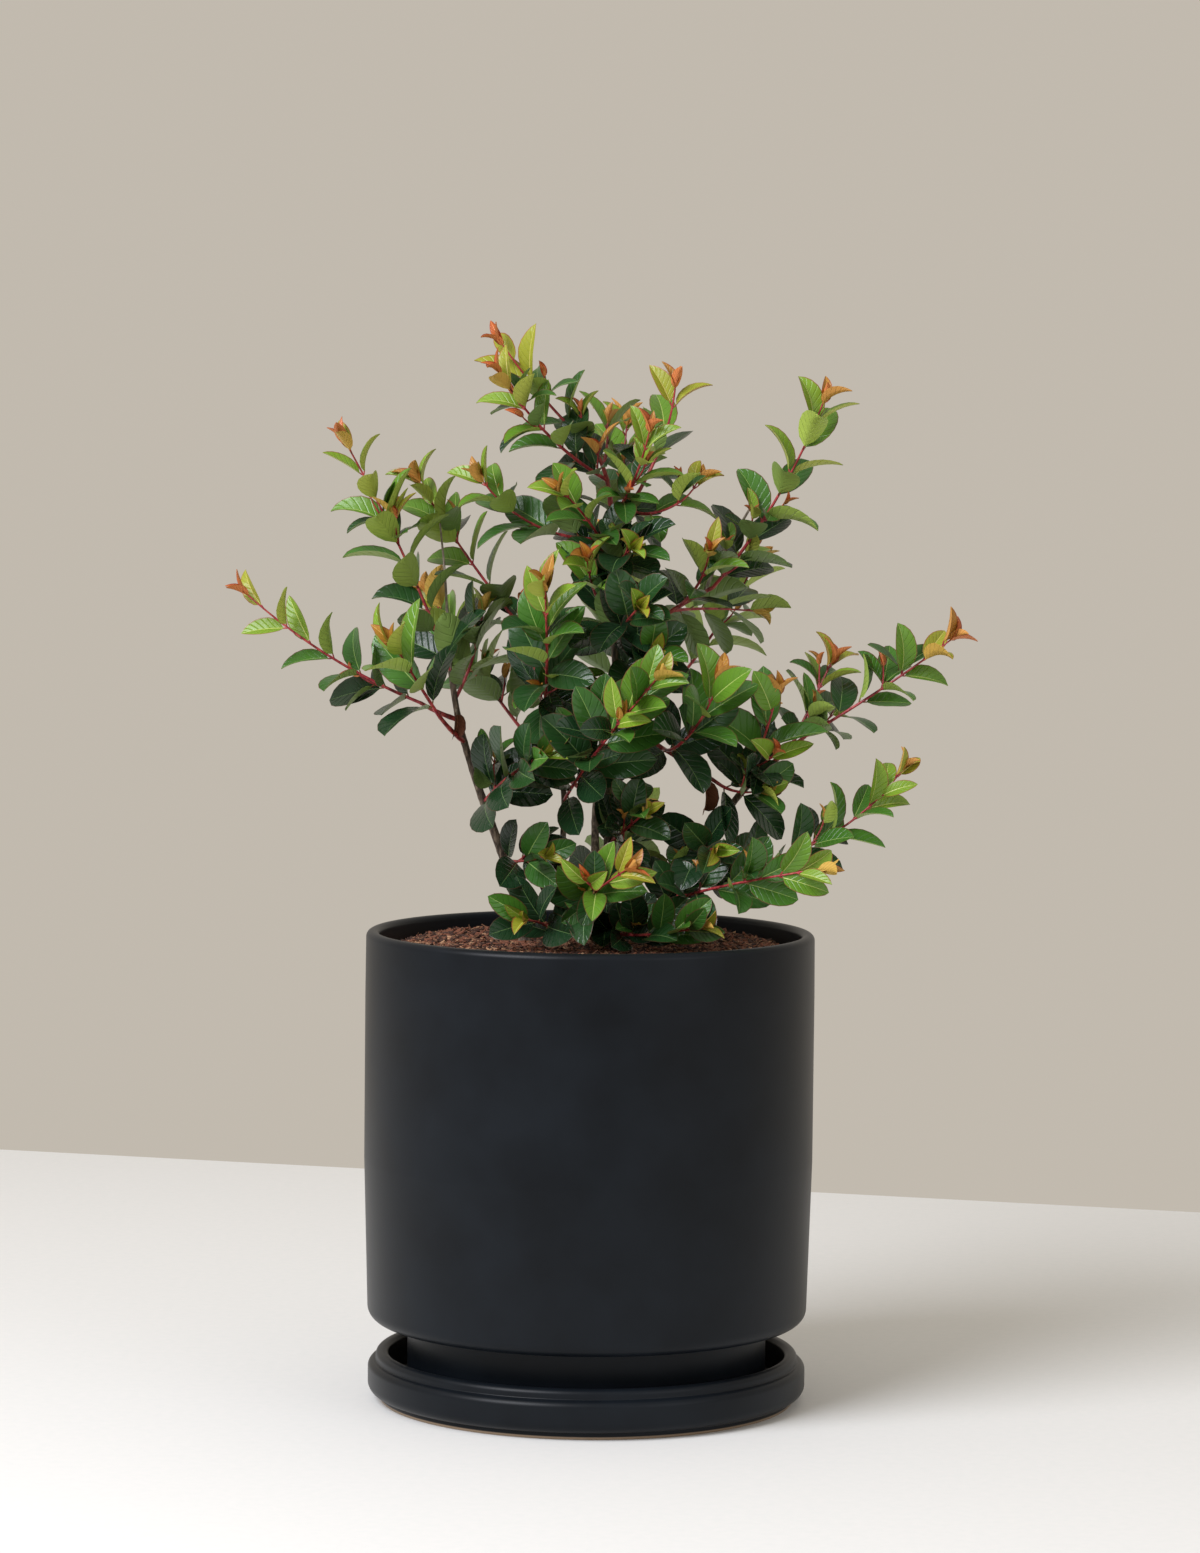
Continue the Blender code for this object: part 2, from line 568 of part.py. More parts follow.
def main():
    for old in list(bpy.data.objects):
        bpy.data.objects.remove(old, do_unlink=True)
    glaze = material("matte charcoal glaze", (0.010, 0.012, 0.015), 0.42)
    mix = material("bark potting mix", (0.12, 0.06, 0.035), 0.95)
    bark = material("grey-brown bark", (0.10, 0.075, 0.055), 0.85)
    red_bark = material("young red bark", (0.20, 0.03, 0.025), 0.5)
    leaf = material("dark green leaves", (0.03, 0.08, 0.02), 0.4)

    finish("saucer", turned(saucer_profile(), SAUCER_SEGMENTS), glaze, 35)
    finish("pot", turned(pot_profile(), POT_SEGMENTS), glaze, 35)
    finish("potting_mix", turned(soil_profile(), POT_SEGMENTS, soil_top), mix, 35)

    limbs = {}
    for name, stem in STEMS.items():
        foot = (*stem["path"][0], SOIL_LEVEL + GAP)
        path = smooth_path([foot, *stem["path"][1:]])
        limbs[name] = limb_of(path, np.array((0.0, 0.0, 1.0)), stem["thick"], stem["flare"])
    for name, (carrier, share, sizes) in BOUGHS.items():
        path, first = seated(limbs[carrier], share, sizes, BOUGH_THICK[0])
        limbs[name] = limb_of(path, first, BOUGH_THICK)
    for name, limb in limbs.items():
        build_limb(name, limb, bark if name in STEMS else red_bark)

    shoots = {}
    for name, (carrier, share, sizes, reach) in FOLIAGE.items():
        path, first = seated(limbs[carrier], share, sizes, FOLIAGE_FOOT)
        shoots[name] = {"path": path, "first": first, "reach": reach}
    for order, name in enumerate(shoots):
        build_foliage(name, order, shoots, limbs, leaf)


main()
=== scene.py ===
import math
import random

import bpy
import numpy as np
from mathutils import Matrix, Vector, noise


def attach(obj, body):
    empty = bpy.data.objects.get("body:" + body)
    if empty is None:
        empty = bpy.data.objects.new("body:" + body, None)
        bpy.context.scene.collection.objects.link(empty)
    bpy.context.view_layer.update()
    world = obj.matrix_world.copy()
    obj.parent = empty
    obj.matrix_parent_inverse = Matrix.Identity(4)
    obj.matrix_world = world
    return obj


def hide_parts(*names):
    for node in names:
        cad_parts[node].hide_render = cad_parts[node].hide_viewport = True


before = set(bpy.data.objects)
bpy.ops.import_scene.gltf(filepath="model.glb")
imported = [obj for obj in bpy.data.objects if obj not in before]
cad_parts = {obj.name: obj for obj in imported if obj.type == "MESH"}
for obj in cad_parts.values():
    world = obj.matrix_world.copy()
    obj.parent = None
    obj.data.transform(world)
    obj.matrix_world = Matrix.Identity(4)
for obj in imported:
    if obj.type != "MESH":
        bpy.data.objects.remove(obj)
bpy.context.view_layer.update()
mm = 0.001


# small helpers
def toLinear(hexColour):
    # sRGB hex to linear RGBA
    parts = [int(hexColour[i:i + 2], 16) / 255 for i in (1, 3, 5)]
    return (*[c / 12.92 if c <= 0.04045 else ((c + 0.055) / 1.055) ** 2.4 for c in parts], 1.0)


def addNode(tree, kind, inputs=(), **settings):
    # one node, its settings, and its inputs as values or as sockets to link from
    node = tree.nodes.new(kind)
    for name, value in settings.items():
        setattr(node, name, value)
    for key, value in dict(inputs).items():
        if isinstance(value, bpy.types.NodeSocket):
            tree.links.new(value, node.inputs[key])
        else:
            node.inputs[key].default_value = value
    return node


def newMaterial(name, colour, roughness, **values):
    # a Principled finish; returns the material, its tree and its shader
    made = bpy.data.materials.new(name)
    made.use_nodes = True
    tree = made.node_tree
    shader = tree.nodes["Principled BSDF"]
    shader.inputs["Base Color"].default_value = toLinear(colour)
    shader.inputs["Roughness"].default_value = roughness
    for key, value in values.items():
        shader.inputs[key].default_value = value
    return made, tree, shader


def colourRamp(tree, factor, stops):
    # stops are (place, hex colour)
    ramp = addNode(tree, "ShaderNodeValToRGB", {"Fac": factor})
    while len(ramp.color_ramp.elements) < len(stops):
        ramp.color_ramp.elements.new(0.5)
    for element, (place, colour) in zip(ramp.color_ramp.elements, stops):
        element.position = place
        element.color = toLinear(colour)
    return ramp.outputs["Color"]


def objectPlace(tree):
    return addNode(tree, "ShaderNodeTexCoord").outputs["Object"]


def addBump(tree, shader, height, strength, distance, **settings):
    # relief from a height pattern; the distance is in metres
    bump = addNode(tree, "ShaderNodeBump", {
        "Height": height, "Strength": strength, "Distance": distance}, **settings)
    tree.links.new(bump.outputs["Normal"], shader.inputs["Normal"])


def addObject(name, verts, faces, look, smooth=True, leafPlaces=None):
    # a mesh piece in the part's own frame; leafPlaces is where each point lies on its leaf
    mesh = bpy.data.meshes.new(name)
    if isinstance(faces, np.ndarray):
        sides = faces.shape[1]
        mesh.vertices.add(len(verts))
        mesh.vertices.foreach_set("co", np.asarray(verts, np.float32).ravel())
        mesh.loops.add(faces.size)
        mesh.loops.foreach_set("vertex_index", faces.astype(np.int32).ravel())
        mesh.polygons.add(len(faces))
        mesh.polygons.foreach_set("loop_start", np.arange(0, faces.size, sides, dtype=np.int32))
        mesh.update(calc_edges=True)
    else:
        mesh.from_pydata([tuple(v) for v in verts], [], faces)
    if smooth:
        mesh.shade_smooth()
    if leafPlaces is not None:
        layer = mesh.attributes.new("leafPlace", "FLOAT_VECTOR", "POINT")
        layer.data.foreach_set("vector", np.asarray(leafPlaces, np.float32).ravel())
    mesh.materials.append(look)
    made = bpy.data.objects.new(name, mesh)
    bpy.context.scene.collection.objects.link(made)
    return made


def place(piece, slotName, *replaced):
    # rides on the one body and stands in for the CAD nodes named
    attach(piece, "root")
    if replaced:
        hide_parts(*replaced)


def applied(made):
    # swaps the live modifiers for their result as a plain mesh
    bpy.context.view_layer.update()
    evaluated = made.evaluated_get(bpy.context.evaluated_depsgraph_get())
    mesh = bpy.data.meshes.new_from_object(evaluated)
    made.modifiers.clear()
    old = made.data
    made.data = mesh
    mesh.name = made.name
    bpy.data.meshes.remove(old)
    return made


def newTree(name, **inputs):
    # a Geometry Nodes tree with named inputs; returns it and the sockets they come in by
    tree = bpy.data.node_groups.new(name, "GeometryNodeTree")
    for label, kind in (("Geometry", "Geometry"), *inputs.items()):
        tree.interface.new_socket(label, in_out="INPUT", socket_type="NodeSocket" + kind)
    tree.interface.new_socket("Geometry", in_out="OUTPUT", socket_type="NodeSocketGeometry")
    return tree, addNode(tree, "NodeGroupInput").outputs


def runTree(made, tree, **values):
    # runs a tree on an object and keeps the result as its mesh
    bpy.context.scene.collection.objects.link(made)
    modifier = made.modifiers.new(tree.name, "NODES")
    modifier.node_group = tree
    for item in tree.interface.items_tree:
        if item.in_out == "INPUT" and item.name in values:
            modifier[item.identifier] = values[item.name]
    return applied(made)


# pot and saucer, in mm
pot = {
    "segments": 192,
    "footRadius": 103.5,
    "underside": 46.5,
    "baseRadius": 126.6,
    "bellyRadius": 129.2,
    "rimRadius": 128.9,
    "rimHeight": 271.0,
    "wall": 7.5,
    "bellyHeight": 140.0,
    "bellyTop": 235.0,
    "floor": 8.0,
    "lowWallInset": 1.7,
    "standsAt": 8.3,
    "glaze": ("#0c1015", "#13181e"),
    "roughness": (0.33, 0.42),
    "sheen": 0.16,
}
saucer = {
    "segments": 192,
    "footRadius": 119.5,
    "footHeight": 4.0,
    "radius": 126.3,
    "shoulder": 22.6,
    "height": 28.3,
    "beadOuter": 121.8,
    "beadInner": 114.6,
    "wellRadius": 112.5,
    "well": 8.0,
    "bareClay": "#8d7a66",
    "bareHeight": 1.3,
    "bareFade": 0.5,
}


def rounded(corners):
    # profile points (radius, height) from corners (radius, height, rounding, steps)
    points = []
    for i, (radius, height, rounding, steps) in enumerate(corners):
        here = np.array((radius, height), float)
        if not rounding:
            points.append(here)
            continue
        before = np.array(corners[i - 1][:2], float) - here
        after = np.array(corners[i + 1][:2], float) - here
        before /= np.linalg.norm(before)
        after /= np.linalg.norm(after)
        half = math.acos(np.clip(before @ after, -1, 1)) / 2
        along = rounding / math.tan(half)
        centre = here + (before + after) / np.linalg.norm(before + after) * rounding / math.sin(half)
        first = here + before * along - centre
        last = here + after * along - centre
        sweep = math.atan2(first[0] * last[1] - first[1] * last[0], first @ last)
        for k in range(steps + 1):
            c, s = math.cos(sweep * k / steps), math.sin(sweep * k / steps)
            points.append(centre + (c * first[0] - s * first[1], s * first[0] + c * first[1]))
    return points


def turned(name, profile, segments, look):
    # a closed turned shell from a profile that starts and ends on the axis
    profile = [tuple(p) for p in profile]
    inner = profile[1:-1]
    angles = [2 * math.pi * k / segments for k in range(segments)]
    verts = [(r * math.cos(a) * mm, r * math.sin(a) * mm, z * mm) for r, z in inner for a in angles]
    first, last = len(verts), len(verts) + 1
    verts += [(0, 0, profile[0][1] * mm), (0, 0, profile[-1][1] * mm)]
    faces = []
    for ring in range(len(inner) - 1):
        for k in range(segments):
            n = (k + 1) % segments
            a, b = ring * segments, (ring + 1) * segments
            faces.append((a + k, a + n, b + n, b + k))
    top = (len(inner) - 1) * segments
    for k in range(segments):
        n = (k + 1) % segments
        faces.append((first, n, k))
        faces.append((last, top + k, top + n))
    made = addObject(name, verts, faces, look)
    made.data.set_sharp_from_angle(angle=math.radians(40))
    return made


def glazeMaterial(name, bareHeight=0.0):
    # matte stoneware glaze: nearly black with a cool cast, soft broad highlights, faint pooling
    dark, pale = pot["glaze"]
    smoothest, roughest = pot["roughness"]
    made, tree, shader = newMaterial(name, dark, roughest, **{"Specular IOR Level": pot["sheen"]})
    where = objectPlace(tree)
    cloud = addNode(tree, "ShaderNodeTexNoise", {"Vector": where, "Scale": 1 / 0.045, "Detail": 3.0})
    colour = colourRamp(tree, cloud.outputs["Fac"], [(0.3, dark), (0.7, pale)])
    grit = addNode(tree, "ShaderNodeTexNoise", {"Vector": where, "Scale": 1 / 0.0012, "Detail": 2.0})
    rough = addNode(tree, "ShaderNodeMapRange", {
        "Value": cloud.outputs["Fac"], "To Min": smoothest, "To Max": roughest})
    if bareHeight:  # the clay shows below this height
        height = addNode(tree, "ShaderNodeSeparateXYZ", {"Vector": where}).outputs["Z"]
        edge = addNode(tree, "ShaderNodeMapRange", {
            "Value": height, "From Min": bareHeight * mm,
            "From Max": (bareHeight + saucer["bareFade"]) * mm})
        mixed = addNode(tree, "ShaderNodeMix", {
            "Factor": edge.outputs["Result"], "A": toLinear(saucer["bareClay"]), "B": colour},
            data_type="RGBA")
        colour = mixed.outputs["Result"]
    tree.links.new(colour, shader.inputs["Base Color"])
    tree.links.new(rough.outputs["Result"], shader.inputs["Roughness"])
    addBump(tree, shader, grit.outputs["Fac"], 0.12, 0.0002)
    return made


def makePot():
    innerTop = pot["rimRadius"] - pot["wall"]
    profile = rounded([
        (0, pot["standsAt"], 0, 0),
        (pot["footRadius"], pot["standsAt"], 1.5, 4),
        (pot["footRadius"], pot["underside"], 3.0, 4),
        (pot["baseRadius"], pot["underside"], 8.0, 10),
        (pot["bellyRadius"], pot["bellyHeight"], 60.0, 6),
        (pot["bellyRadius"], pot["bellyTop"], 0, 0),
        (pot["rimRadius"], pot["rimHeight"], 3.7, 10),
        (innerTop, pot["rimHeight"], 3.4, 10),
        (innerTop - pot["lowWallInset"], pot["underside"] + pot["floor"], 6.0, 4),
        (pot["footRadius"] - pot["floor"], pot["underside"] + pot["floor"], 4.0, 3),
        (pot["footRadius"] - pot["floor"], pot["standsAt"] + pot["floor"], 4.0, 3),
        (0, pot["standsAt"] + pot["floor"], 0, 0),
    ])
    look = glazeMaterial("matte charcoal stoneware glaze")
    place(turned("glazedPot", profile, pot["segments"], look), "charcoal_glaze", "pot")


def makeSaucer():
    profile = rounded([
        (0, 0, 0, 0),
        (saucer["footRadius"], 0, 0.8, 3),
        (saucer["footRadius"], saucer["footHeight"], 0, 0),
        (saucer["radius"], saucer["footHeight"], 6.0, 10),
        (saucer["radius"], saucer["shoulder"], 4.2, 10),
        (saucer["beadOuter"], saucer["shoulder"], 0.7, 3),
        (saucer["beadOuter"], saucer["height"], 3.4, 8),
        (saucer["beadInner"], saucer["height"], 3.4, 8),
        (saucer["wellRadius"], saucer["well"], 4.0, 6),
        (0, saucer["well"], 0, 0),
    ])
    look = glazeMaterial("matte charcoal glaze over bare clay foot", saucer["bareHeight"])
    place(turned("glazedSaucer", profile, saucer["segments"], look), "charcoal_glaze", "saucer")


makePot()
makeSaucer()
print("pot and saucer made")


# potting mix, in mm
mix = {
    "level": 262.0,
    "flatRadius": 48.0,
    "moundRadius": 84.0,
    "moundWidth": 30.0,
    "moundHeight": 3.5,
    "gutterDepth": 6.0,
    "gutterWidth": 17.0,
    "lumps": 1.6,
    "lumpSize": 9.0,
    "gap": 0.3,
    "innerRing": 1.2,
    "rings": 90,
    "segments": 240,
    "colours": ("#2b1811", "#573325", "#83563f", "#ad8769"),
    "chips": 5200,
    "chipArea": 119.0,
    "chipReach": 117.5,
    "chipDepth": 14.0,
    "seed": 11,
}


def mixHeight(x, y):
    # flat round the stems, a low uneven ring outside them, and a gutter along the wall
    radius = math.hypot(x, y)
    angle = math.atan2(y, x)
    share = (radius - mix["moundRadius"]) / mix["moundWidth"]
    mound = max(0.0, 1 - share * share) * (0.55 + 0.35 * math.sin(angle) + 0.2 * math.cos(2 * angle))
    edge = pot["rimRadius"] - pot["wall"] - mix["gutterWidth"]
    gutter = max(0.0, (radius - edge) / mix["gutterWidth"])
    if radius < mix["flatRadius"]:
        mound = 0.0
    lump = noise.fractal(Vector((x / mix["lumpSize"], y / mix["lumpSize"], 3.0)), 0.8, 2.2, 4)
    return mix["level"] + mix["moundHeight"] * mound - mix["gutterDepth"] * gutter + mix["lumps"] * lump


def mixMaterial():
    # damp bark and coir: dark red-brown crumbs with paler flecks
    made, tree, shader = newMaterial("damp bark and coir mix", mix["colours"][1], 0.95)
    where = objectPlace(tree)
    crumbs = addNode(tree, "ShaderNodeTexVoronoi", {"Vector": where, "Scale": 1 / 0.0022})
    shade = addNode(tree, "ShaderNodeSeparateColor", {"Color": crumbs.outputs["Color"]}).outputs["Red"]
    colour = colourRamp(tree, shade, list(zip((0.0, 0.45, 0.8, 1.0), mix["colours"])))
    tree.links.new(colour, shader.inputs["Base Color"])
    addBump(tree, shader, crumbs.outputs["Distance"], 0.9, 0.001, invert=True)
    return made


def makeMix():
    # fills the pot, a hair clear of its wall and floor
    outer = pot["rimRadius"] - pot["wall"] - mix["gap"]
    low = pot["footRadius"] - pot["floor"] - mix["gap"]
    step = pot["underside"] + pot["floor"] + mix["gap"]
    bottom = pot["standsAt"] + pot["floor"] + mix["gap"]
    radii = np.linspace(outer, mix["innerRing"], mix["rings"])
    profile = [(0, bottom), (low, bottom), (low, step), (outer - pot["lowWallInset"], step)]
    profile += [(r, mix["level"]) for r in radii] + [(0, mix["level"])]
    made = turned("pottingMix", profile, mix["segments"], mixMaterial())
    for vert in made.data.vertices:
        if vert.co.z > (mix["level"] - 1) * mm:
            vert.co.z = mixHeight(vert.co.x / mm, vert.co.y / mm) * mm
    place(made, "bark_mix", "potting_mix")
    return made


def chipShape(name, length, width, thick, seed):
    # one flake of bark: a bent, uneven slab
    rng = random.Random(seed)
    verts, faces = [], []
    stations = [-0.5, -0.2, 0.15, 0.5]
    for i, u in enumerate(stations):
        half = width / 2 * (0.45 if i in (0, 3) else 1.0) * rng.uniform(0.8, 1.2)
        bend = 0.18 * length * u * u
        for y, z in ((-half, 0), (half, 0), (half * 0.8, thick), (-half * 0.8, thick)):
            x = u * length + rng.uniform(-0.3, 0.3)
            verts.append((x * mm, y * mm, (z + bend + rng.uniform(-0.1, 0.1)) * mm))
    for i in range(3):
        a, b = 4 * i, 4 * (i + 1)
        for k in range(4):
            n = (k + 1) % 4
            faces.append((a + k, a + n, b + n, b + k))
    faces += [(0, 3, 2, 1), (12, 13, 14, 15)]
    mesh = bpy.data.meshes.new(name)
    mesh.from_pydata(verts, [], faces)
    return bpy.data.objects.new(name, mesh)


def scatterChips(ground, name, shapes, count, seed, look, scales):
    # Geometry Nodes: chips strewn over the top of the mix
    tree, given = newTree(name + "Tree", Count="Int", Seed="Int", Smallest="Float", Largest="Float")
    area = math.pi * (mix["chipArea"] * mm) ** 2
    density = addNode(tree, "ShaderNodeMath", {0: given["Count"], 1: area}, operation="DIVIDE")
    where = addNode(tree, "GeometryNodeInputPosition")
    parts = addNode(tree, "ShaderNodeSeparateXYZ", {0: where.outputs[0]})
    high = addNode(tree, "FunctionNodeCompare", {
        0: parts.outputs["Z"], 1: (mix["level"] - mix["chipDepth"]) * mm},
        data_type="FLOAT", operation="GREATER_THAN")
    flat = addNode(tree, "ShaderNodeCombineXYZ", {0: parts.outputs["X"], 1: parts.outputs["Y"]})
    out = addNode(tree, "ShaderNodeVectorMath", {0: flat.outputs[0]}, operation="LENGTH")
    inside = addNode(tree, "FunctionNodeCompare", {0: out.outputs["Value"], 1: mix["chipReach"] * mm},
                     data_type="FLOAT", operation="LESS_THAN")
    both = addNode(tree, "FunctionNodeBooleanMath", {0: high.outputs[0], 1: inside.outputs[0]},
                   operation="AND")
    points = addNode(tree, "GeometryNodeDistributePointsOnFaces", {
        "Mesh": given["Geometry"], "Selection": both.outputs[0], "Density": density.outputs[0],
        "Seed": given["Seed"]})
    joined = addNode(tree, "GeometryNodeJoinGeometry")
    for shape in shapes:
        info = addNode(tree, "GeometryNodeObjectInfo", {"Object": shape, "As Instance": True})
        tree.links.new(info.outputs["Geometry"], joined.inputs[0])
    spin = addNode(tree, "FunctionNodeRandomValue", {
        0: (-0.45, -0.45, 0.0), 1: (0.45, 0.45, 6.283), "Seed": 3}, data_type="FLOAT_VECTOR")
    size = addNode(tree, "FunctionNodeRandomValue", {
        2: given["Smallest"], 3: given["Largest"], "Seed": 4}, data_type="FLOAT")
    strewn = addNode(tree, "GeometryNodeInstanceOnPoints", {
        "Points": points.outputs["Points"], "Instance": joined.outputs[0], "Pick Instance": True,
        "Rotation": spin.outputs["Value"], "Scale": size.outputs[1]})
    real = addNode(tree, "GeometryNodeRealizeInstances", {0: strewn.outputs[0]})
    coloured = addNode(tree, "GeometryNodeSetMaterial", {"Geometry": real.outputs[0], "Material": look})
    addNode(tree, "NodeGroupOutput", {0: coloured.outputs[0]})
    made = bpy.data.objects.new(name, ground.data.copy())
    runTree(made, tree, Count=count, Seed=seed, Smallest=scales[0], Largest=scales[1])
    made.data.materials.clear()
    made.data.materials.append(look)
    place(made, "bark_mix")


ground = makeMix()
flakes = [chipShape(f"flake{i}", 4.6 + i, 2.0 + 0.35 * i, 0.8, 40 + i) for i in range(4)]
fibres = [chipShape(f"fibre{i}", 9.0 + 2 * i, 0.5, 0.4, 60 + i) for i in range(2)]
# name, shapes, share of the chips, colour, smallest and largest scale
chipKinds = [
    ("barkChipsDark", flakes, 0.34, "#3a2219", (0.4, 1.0)),
    ("barkChipsRed", flakes, 0.38, "#744632", (0.35, 0.95)),
    ("barkChipsPale", flakes, 0.16, "#a57e5f", (0.3, 0.7)),
    ("coirFibres", fibres, 0.12, "#6f4c35", (0.5, 1.1)),
]
for index, (name, shapes, share, colour, scales) in enumerate(chipKinds):
    look = newMaterial(name + " finish", colour, 0.9)[0]
    scatterChips(ground, name, shapes, int(mix["chips"] * share), mix["seed"] + index, look, scales)
for shape in flakes + fibres:
    bpy.data.objects.remove(shape)
print("potting mix and chips made")


# paths of stems, boughs and shoots, in mm and degrees, as the CAD has them
# a stem's first point has no height, because it stands in the mix
stems = {
    "main_stem": {
        "path": [(7, 0), (11, 2, 332), (10, 3, 352), (14, 4, 404), (11, 3, 469), (9, 1, 512)],
        "thick": (4.1, 2.2), "flare": 1.8},
    "left_stem": {
        "path": [(-37, 20), (-42, 20, 281), (-49, 19, 306), (-64, 12, 348), (-76, 5, 387), (-82, 5, 420)],
        "thick": (3.1, 1.6), "flare": 1.0},
    "slim_stem": {
        "path": [(-20, -5), (-16, 0, 344), (-22, 5, 374), (-32, 20, 406)],
        "thick": (2.0, 1.3), "flare": 0.8},
    "right_stem": {
        "path": [(25, 15), (40, 11, 285), (55, 5, 307), (66, 0, 322), (82, 0, 347), (99, 2, 365)],
        "thick": (3.0, 1.7), "flare": 1.0},
    "back_stem": {
        "path": [(8, 34), (2, 58, 320), (6, 84, 380), (12, 95, 408)],
        "thick": (2.8, 1.7), "flare": 1.0},
}
# parent, share of its length, then length, heading, turn, rise and bend
boughs = {
    "far_left_bough": ("left_stem", 0.83, 25, -152, -20, 16, 15),
    "left_front_bough": ("left_stem", 0.75, 33, -116, -10, 21, 20),
    "inner_left_bough": ("slim_stem", 1.0, 35, 125, 10, 77, -5),
    "top_left_bough": ("main_stem", 1.0, 36, -155, -20, 90, -30),
    "top_right_bough": ("main_stem", 0.96, 29, -18, 40, 49, 10),
    "right_top_bough": ("main_stem", 0.68, 68, 19, -20, 42, -15),
    "mid_right_bough": ("main_stem", 0.53, 69, -26, 20, -27, -5),
    "far_right_bough": ("right_stem", 1.0, 30, -11, 15, 40, 0),
    "back_left_bough": ("back_stem", 0.55, 62, 152, 15, 30, 20),
    "back_right_bough": ("back_stem", 0.72, 58, 28, -10, 34, 15),
    "high_back_bough": ("main_stem", 0.74, 52, 78, 15, 44, 20),
}
boughThick = (1.5, 1.1)
stemFoot = {"depth": 4.0, "flareLength": 5.0}
# parent, share, length, heading, turn, rise, bend, then leaf length and how young its leaves are (0 to 1)
shoots = {
    "far_left_foliage": ("far_left_bough", 1.0, 138, -169, 8, 22, 22, 25, 0.75),
    "left_front_foliage": ("left_front_bough", 1.0, 76, -125, -5, 44, 5, 30, 0.55),
    "upper_left_foliage": ("left_stem", 1.0, 163, 178, 20, 70, -12, 27, 0.65),
    "left_inner_foliage": ("left_stem", 0.90, 72, 30, 20, 58, 30, 26, 0.15),
    "inner_left_foliage": ("inner_left_bough", 1.0, 128, 173, 10, 49, 12, 26, 0.55),
    "middle_front_foliage": ("slim_stem", 0.93, 146, -85, -10, 16, 50, 30, 0.45),
    "middle_shoulder_foliage": ("main_stem", 0.75, 83, -119, 30, 25, 25, 24, 0.55),
    "high_left_foliage": ("main_stem", 0.94, 107, -160, -10, -8, 75, 27, 0.45),
    "top_left_foliage": ("top_left_bough", 1.0, 101, -170, 15, 41, 15, 25, 0.75),
    "top_left_sister_foliage": ("top_left_bough", 0.50, 114, -143, -5, 24, 35, 24, 0.75),
    "top_middle_foliage": ("top_left_bough", 0.72, 56, 77, 25, 37, 20, 25, 0.45),
    "top_right_foliage": ("top_right_bough", 1.0, 80, 30, -100, 59, 30, 24, 0.65),
    "top_middle_front_foliage": ("main_stem", 0.985, 90, -68, 5, 23, 50, 22, 0.65),
    "right_shoulder_foliage": ("top_right_bough", 0.55, 72, -75, 145, -25, 107, 22, 0.55),
    "upper_front_foliage": ("main_stem", 0.88, 93, -105, -30, 36, -5, 22, 0.45),
    "upper_core_foliage": ("main_stem", 0.85, 76, -90, 30, 18, 0, 27, 0.10),
    "front_core_foliage": ("main_stem", 0.71, 101, -87, 15, 13, 5, 27, 0.12),
    "middle_core_foliage": ("main_stem", 0.62, 78, -73, 10, 14, 10, 28, 0.10),
    "right_top_foliage": ("right_top_bough", 1.0, 146, -24, 6, 48, 24, 27, 0.60),
    "right_light_foliage": ("right_top_bough", 0.68, 68, -54, -35, 28, 25, 22, 0.58),
    "right_big_leaf_foliage": ("mid_right_bough", 0.48, 106, -81, 55, -6, 98, 30, 0.45),
    "right_back_high_foliage": ("right_top_bough", 0.60, 89, 59, -35, 3, -10, 26, 0.20),
    "middle_red_foliage": ("slim_stem", 0.57, 150, -75, 35, 29, 15, 28, 0.35),
    "low_left_middle_foliage": ("left_stem", 0.53, 93, -65, 15, 31, -15, 28, 0.10),
    "low_left_foliage": ("left_stem", 0.32, 70, -72, 25, -1, 20, 24, 0.25),
    "low_middle_foliage": ("main_stem", 0.25, 64, -68, 15, 22, 10, 24, 0.15),
    "right_middle_foliage": ("mid_right_bough", 1.0, 52, -44, 30, -28, 72, 28, 0.10),
    "right_front_foliage": ("right_stem", 0.87, 93, -70, 5, 42, 25, 27, 0.45),
    "right_high_foliage": ("far_right_bough", 0.62, 74, 32, -15, 60, 5, 24, 0.72),
    "far_right_foliage": ("far_right_bough", 1.0, 118, -5, -8, 31, 8, 23, 0.66),
    "low_right_foliage": ("right_stem", 0.47, 160, -32, 48, -5, 66, 22, 0.50),
    "lowest_right_foliage": ("right_stem", 0.22, 156, -78, 72, 16, -6, 24, 0.35),
    "low_right_front_foliage": ("right_stem", 0.57, 65, -97, 40, 5, -5, 27, 0.10),
    "low_front_foliage": ("main_stem", 0.10, 114, -119, 90, 8, 25, 25, 0.55),
    "soil_left_foliage": ("slim_stem", 0.08, 62, -107, -20, 22, -20, 25, 0.15),
    "soil_right_foliage": ("main_stem", 0.05, 101, -64, 35, -2, 20, 23, 0.20),
    "back_left_foliage": ("back_left_bough", 1.0, 118, 167, 12, 50, 12, 27, 0.50),
    "back_right_foliage": ("back_right_bough", 1.0, 112, 18, -12, 48, 18, 27, 0.50),
    "back_foliage": ("back_stem", 1.0, 120, 88, 15, 52, 18, 28, 0.45),
    "high_back_foliage": ("high_back_bough", 1.0, 100, 92, -20, 62, 12, 26, 0.50),
    "low_back_foliage": ("back_stem", 0.22, 92, 62, 20, 24, 20, 26, 0.20),
}


def spaced(points, step):
    # the same line with its points a step apart
    points = np.asarray(points, float)
    lengths = np.r_[0, np.cumsum(np.linalg.norm(np.diff(points, axis=0), axis=1))]
    count = max(2, int(round(lengths[-1] / step)))
    marks = np.linspace(0, lengths[-1], count + 1)
    return np.stack([np.interp(marks, lengths, points[:, k]) for k in range(3)], axis=-1)


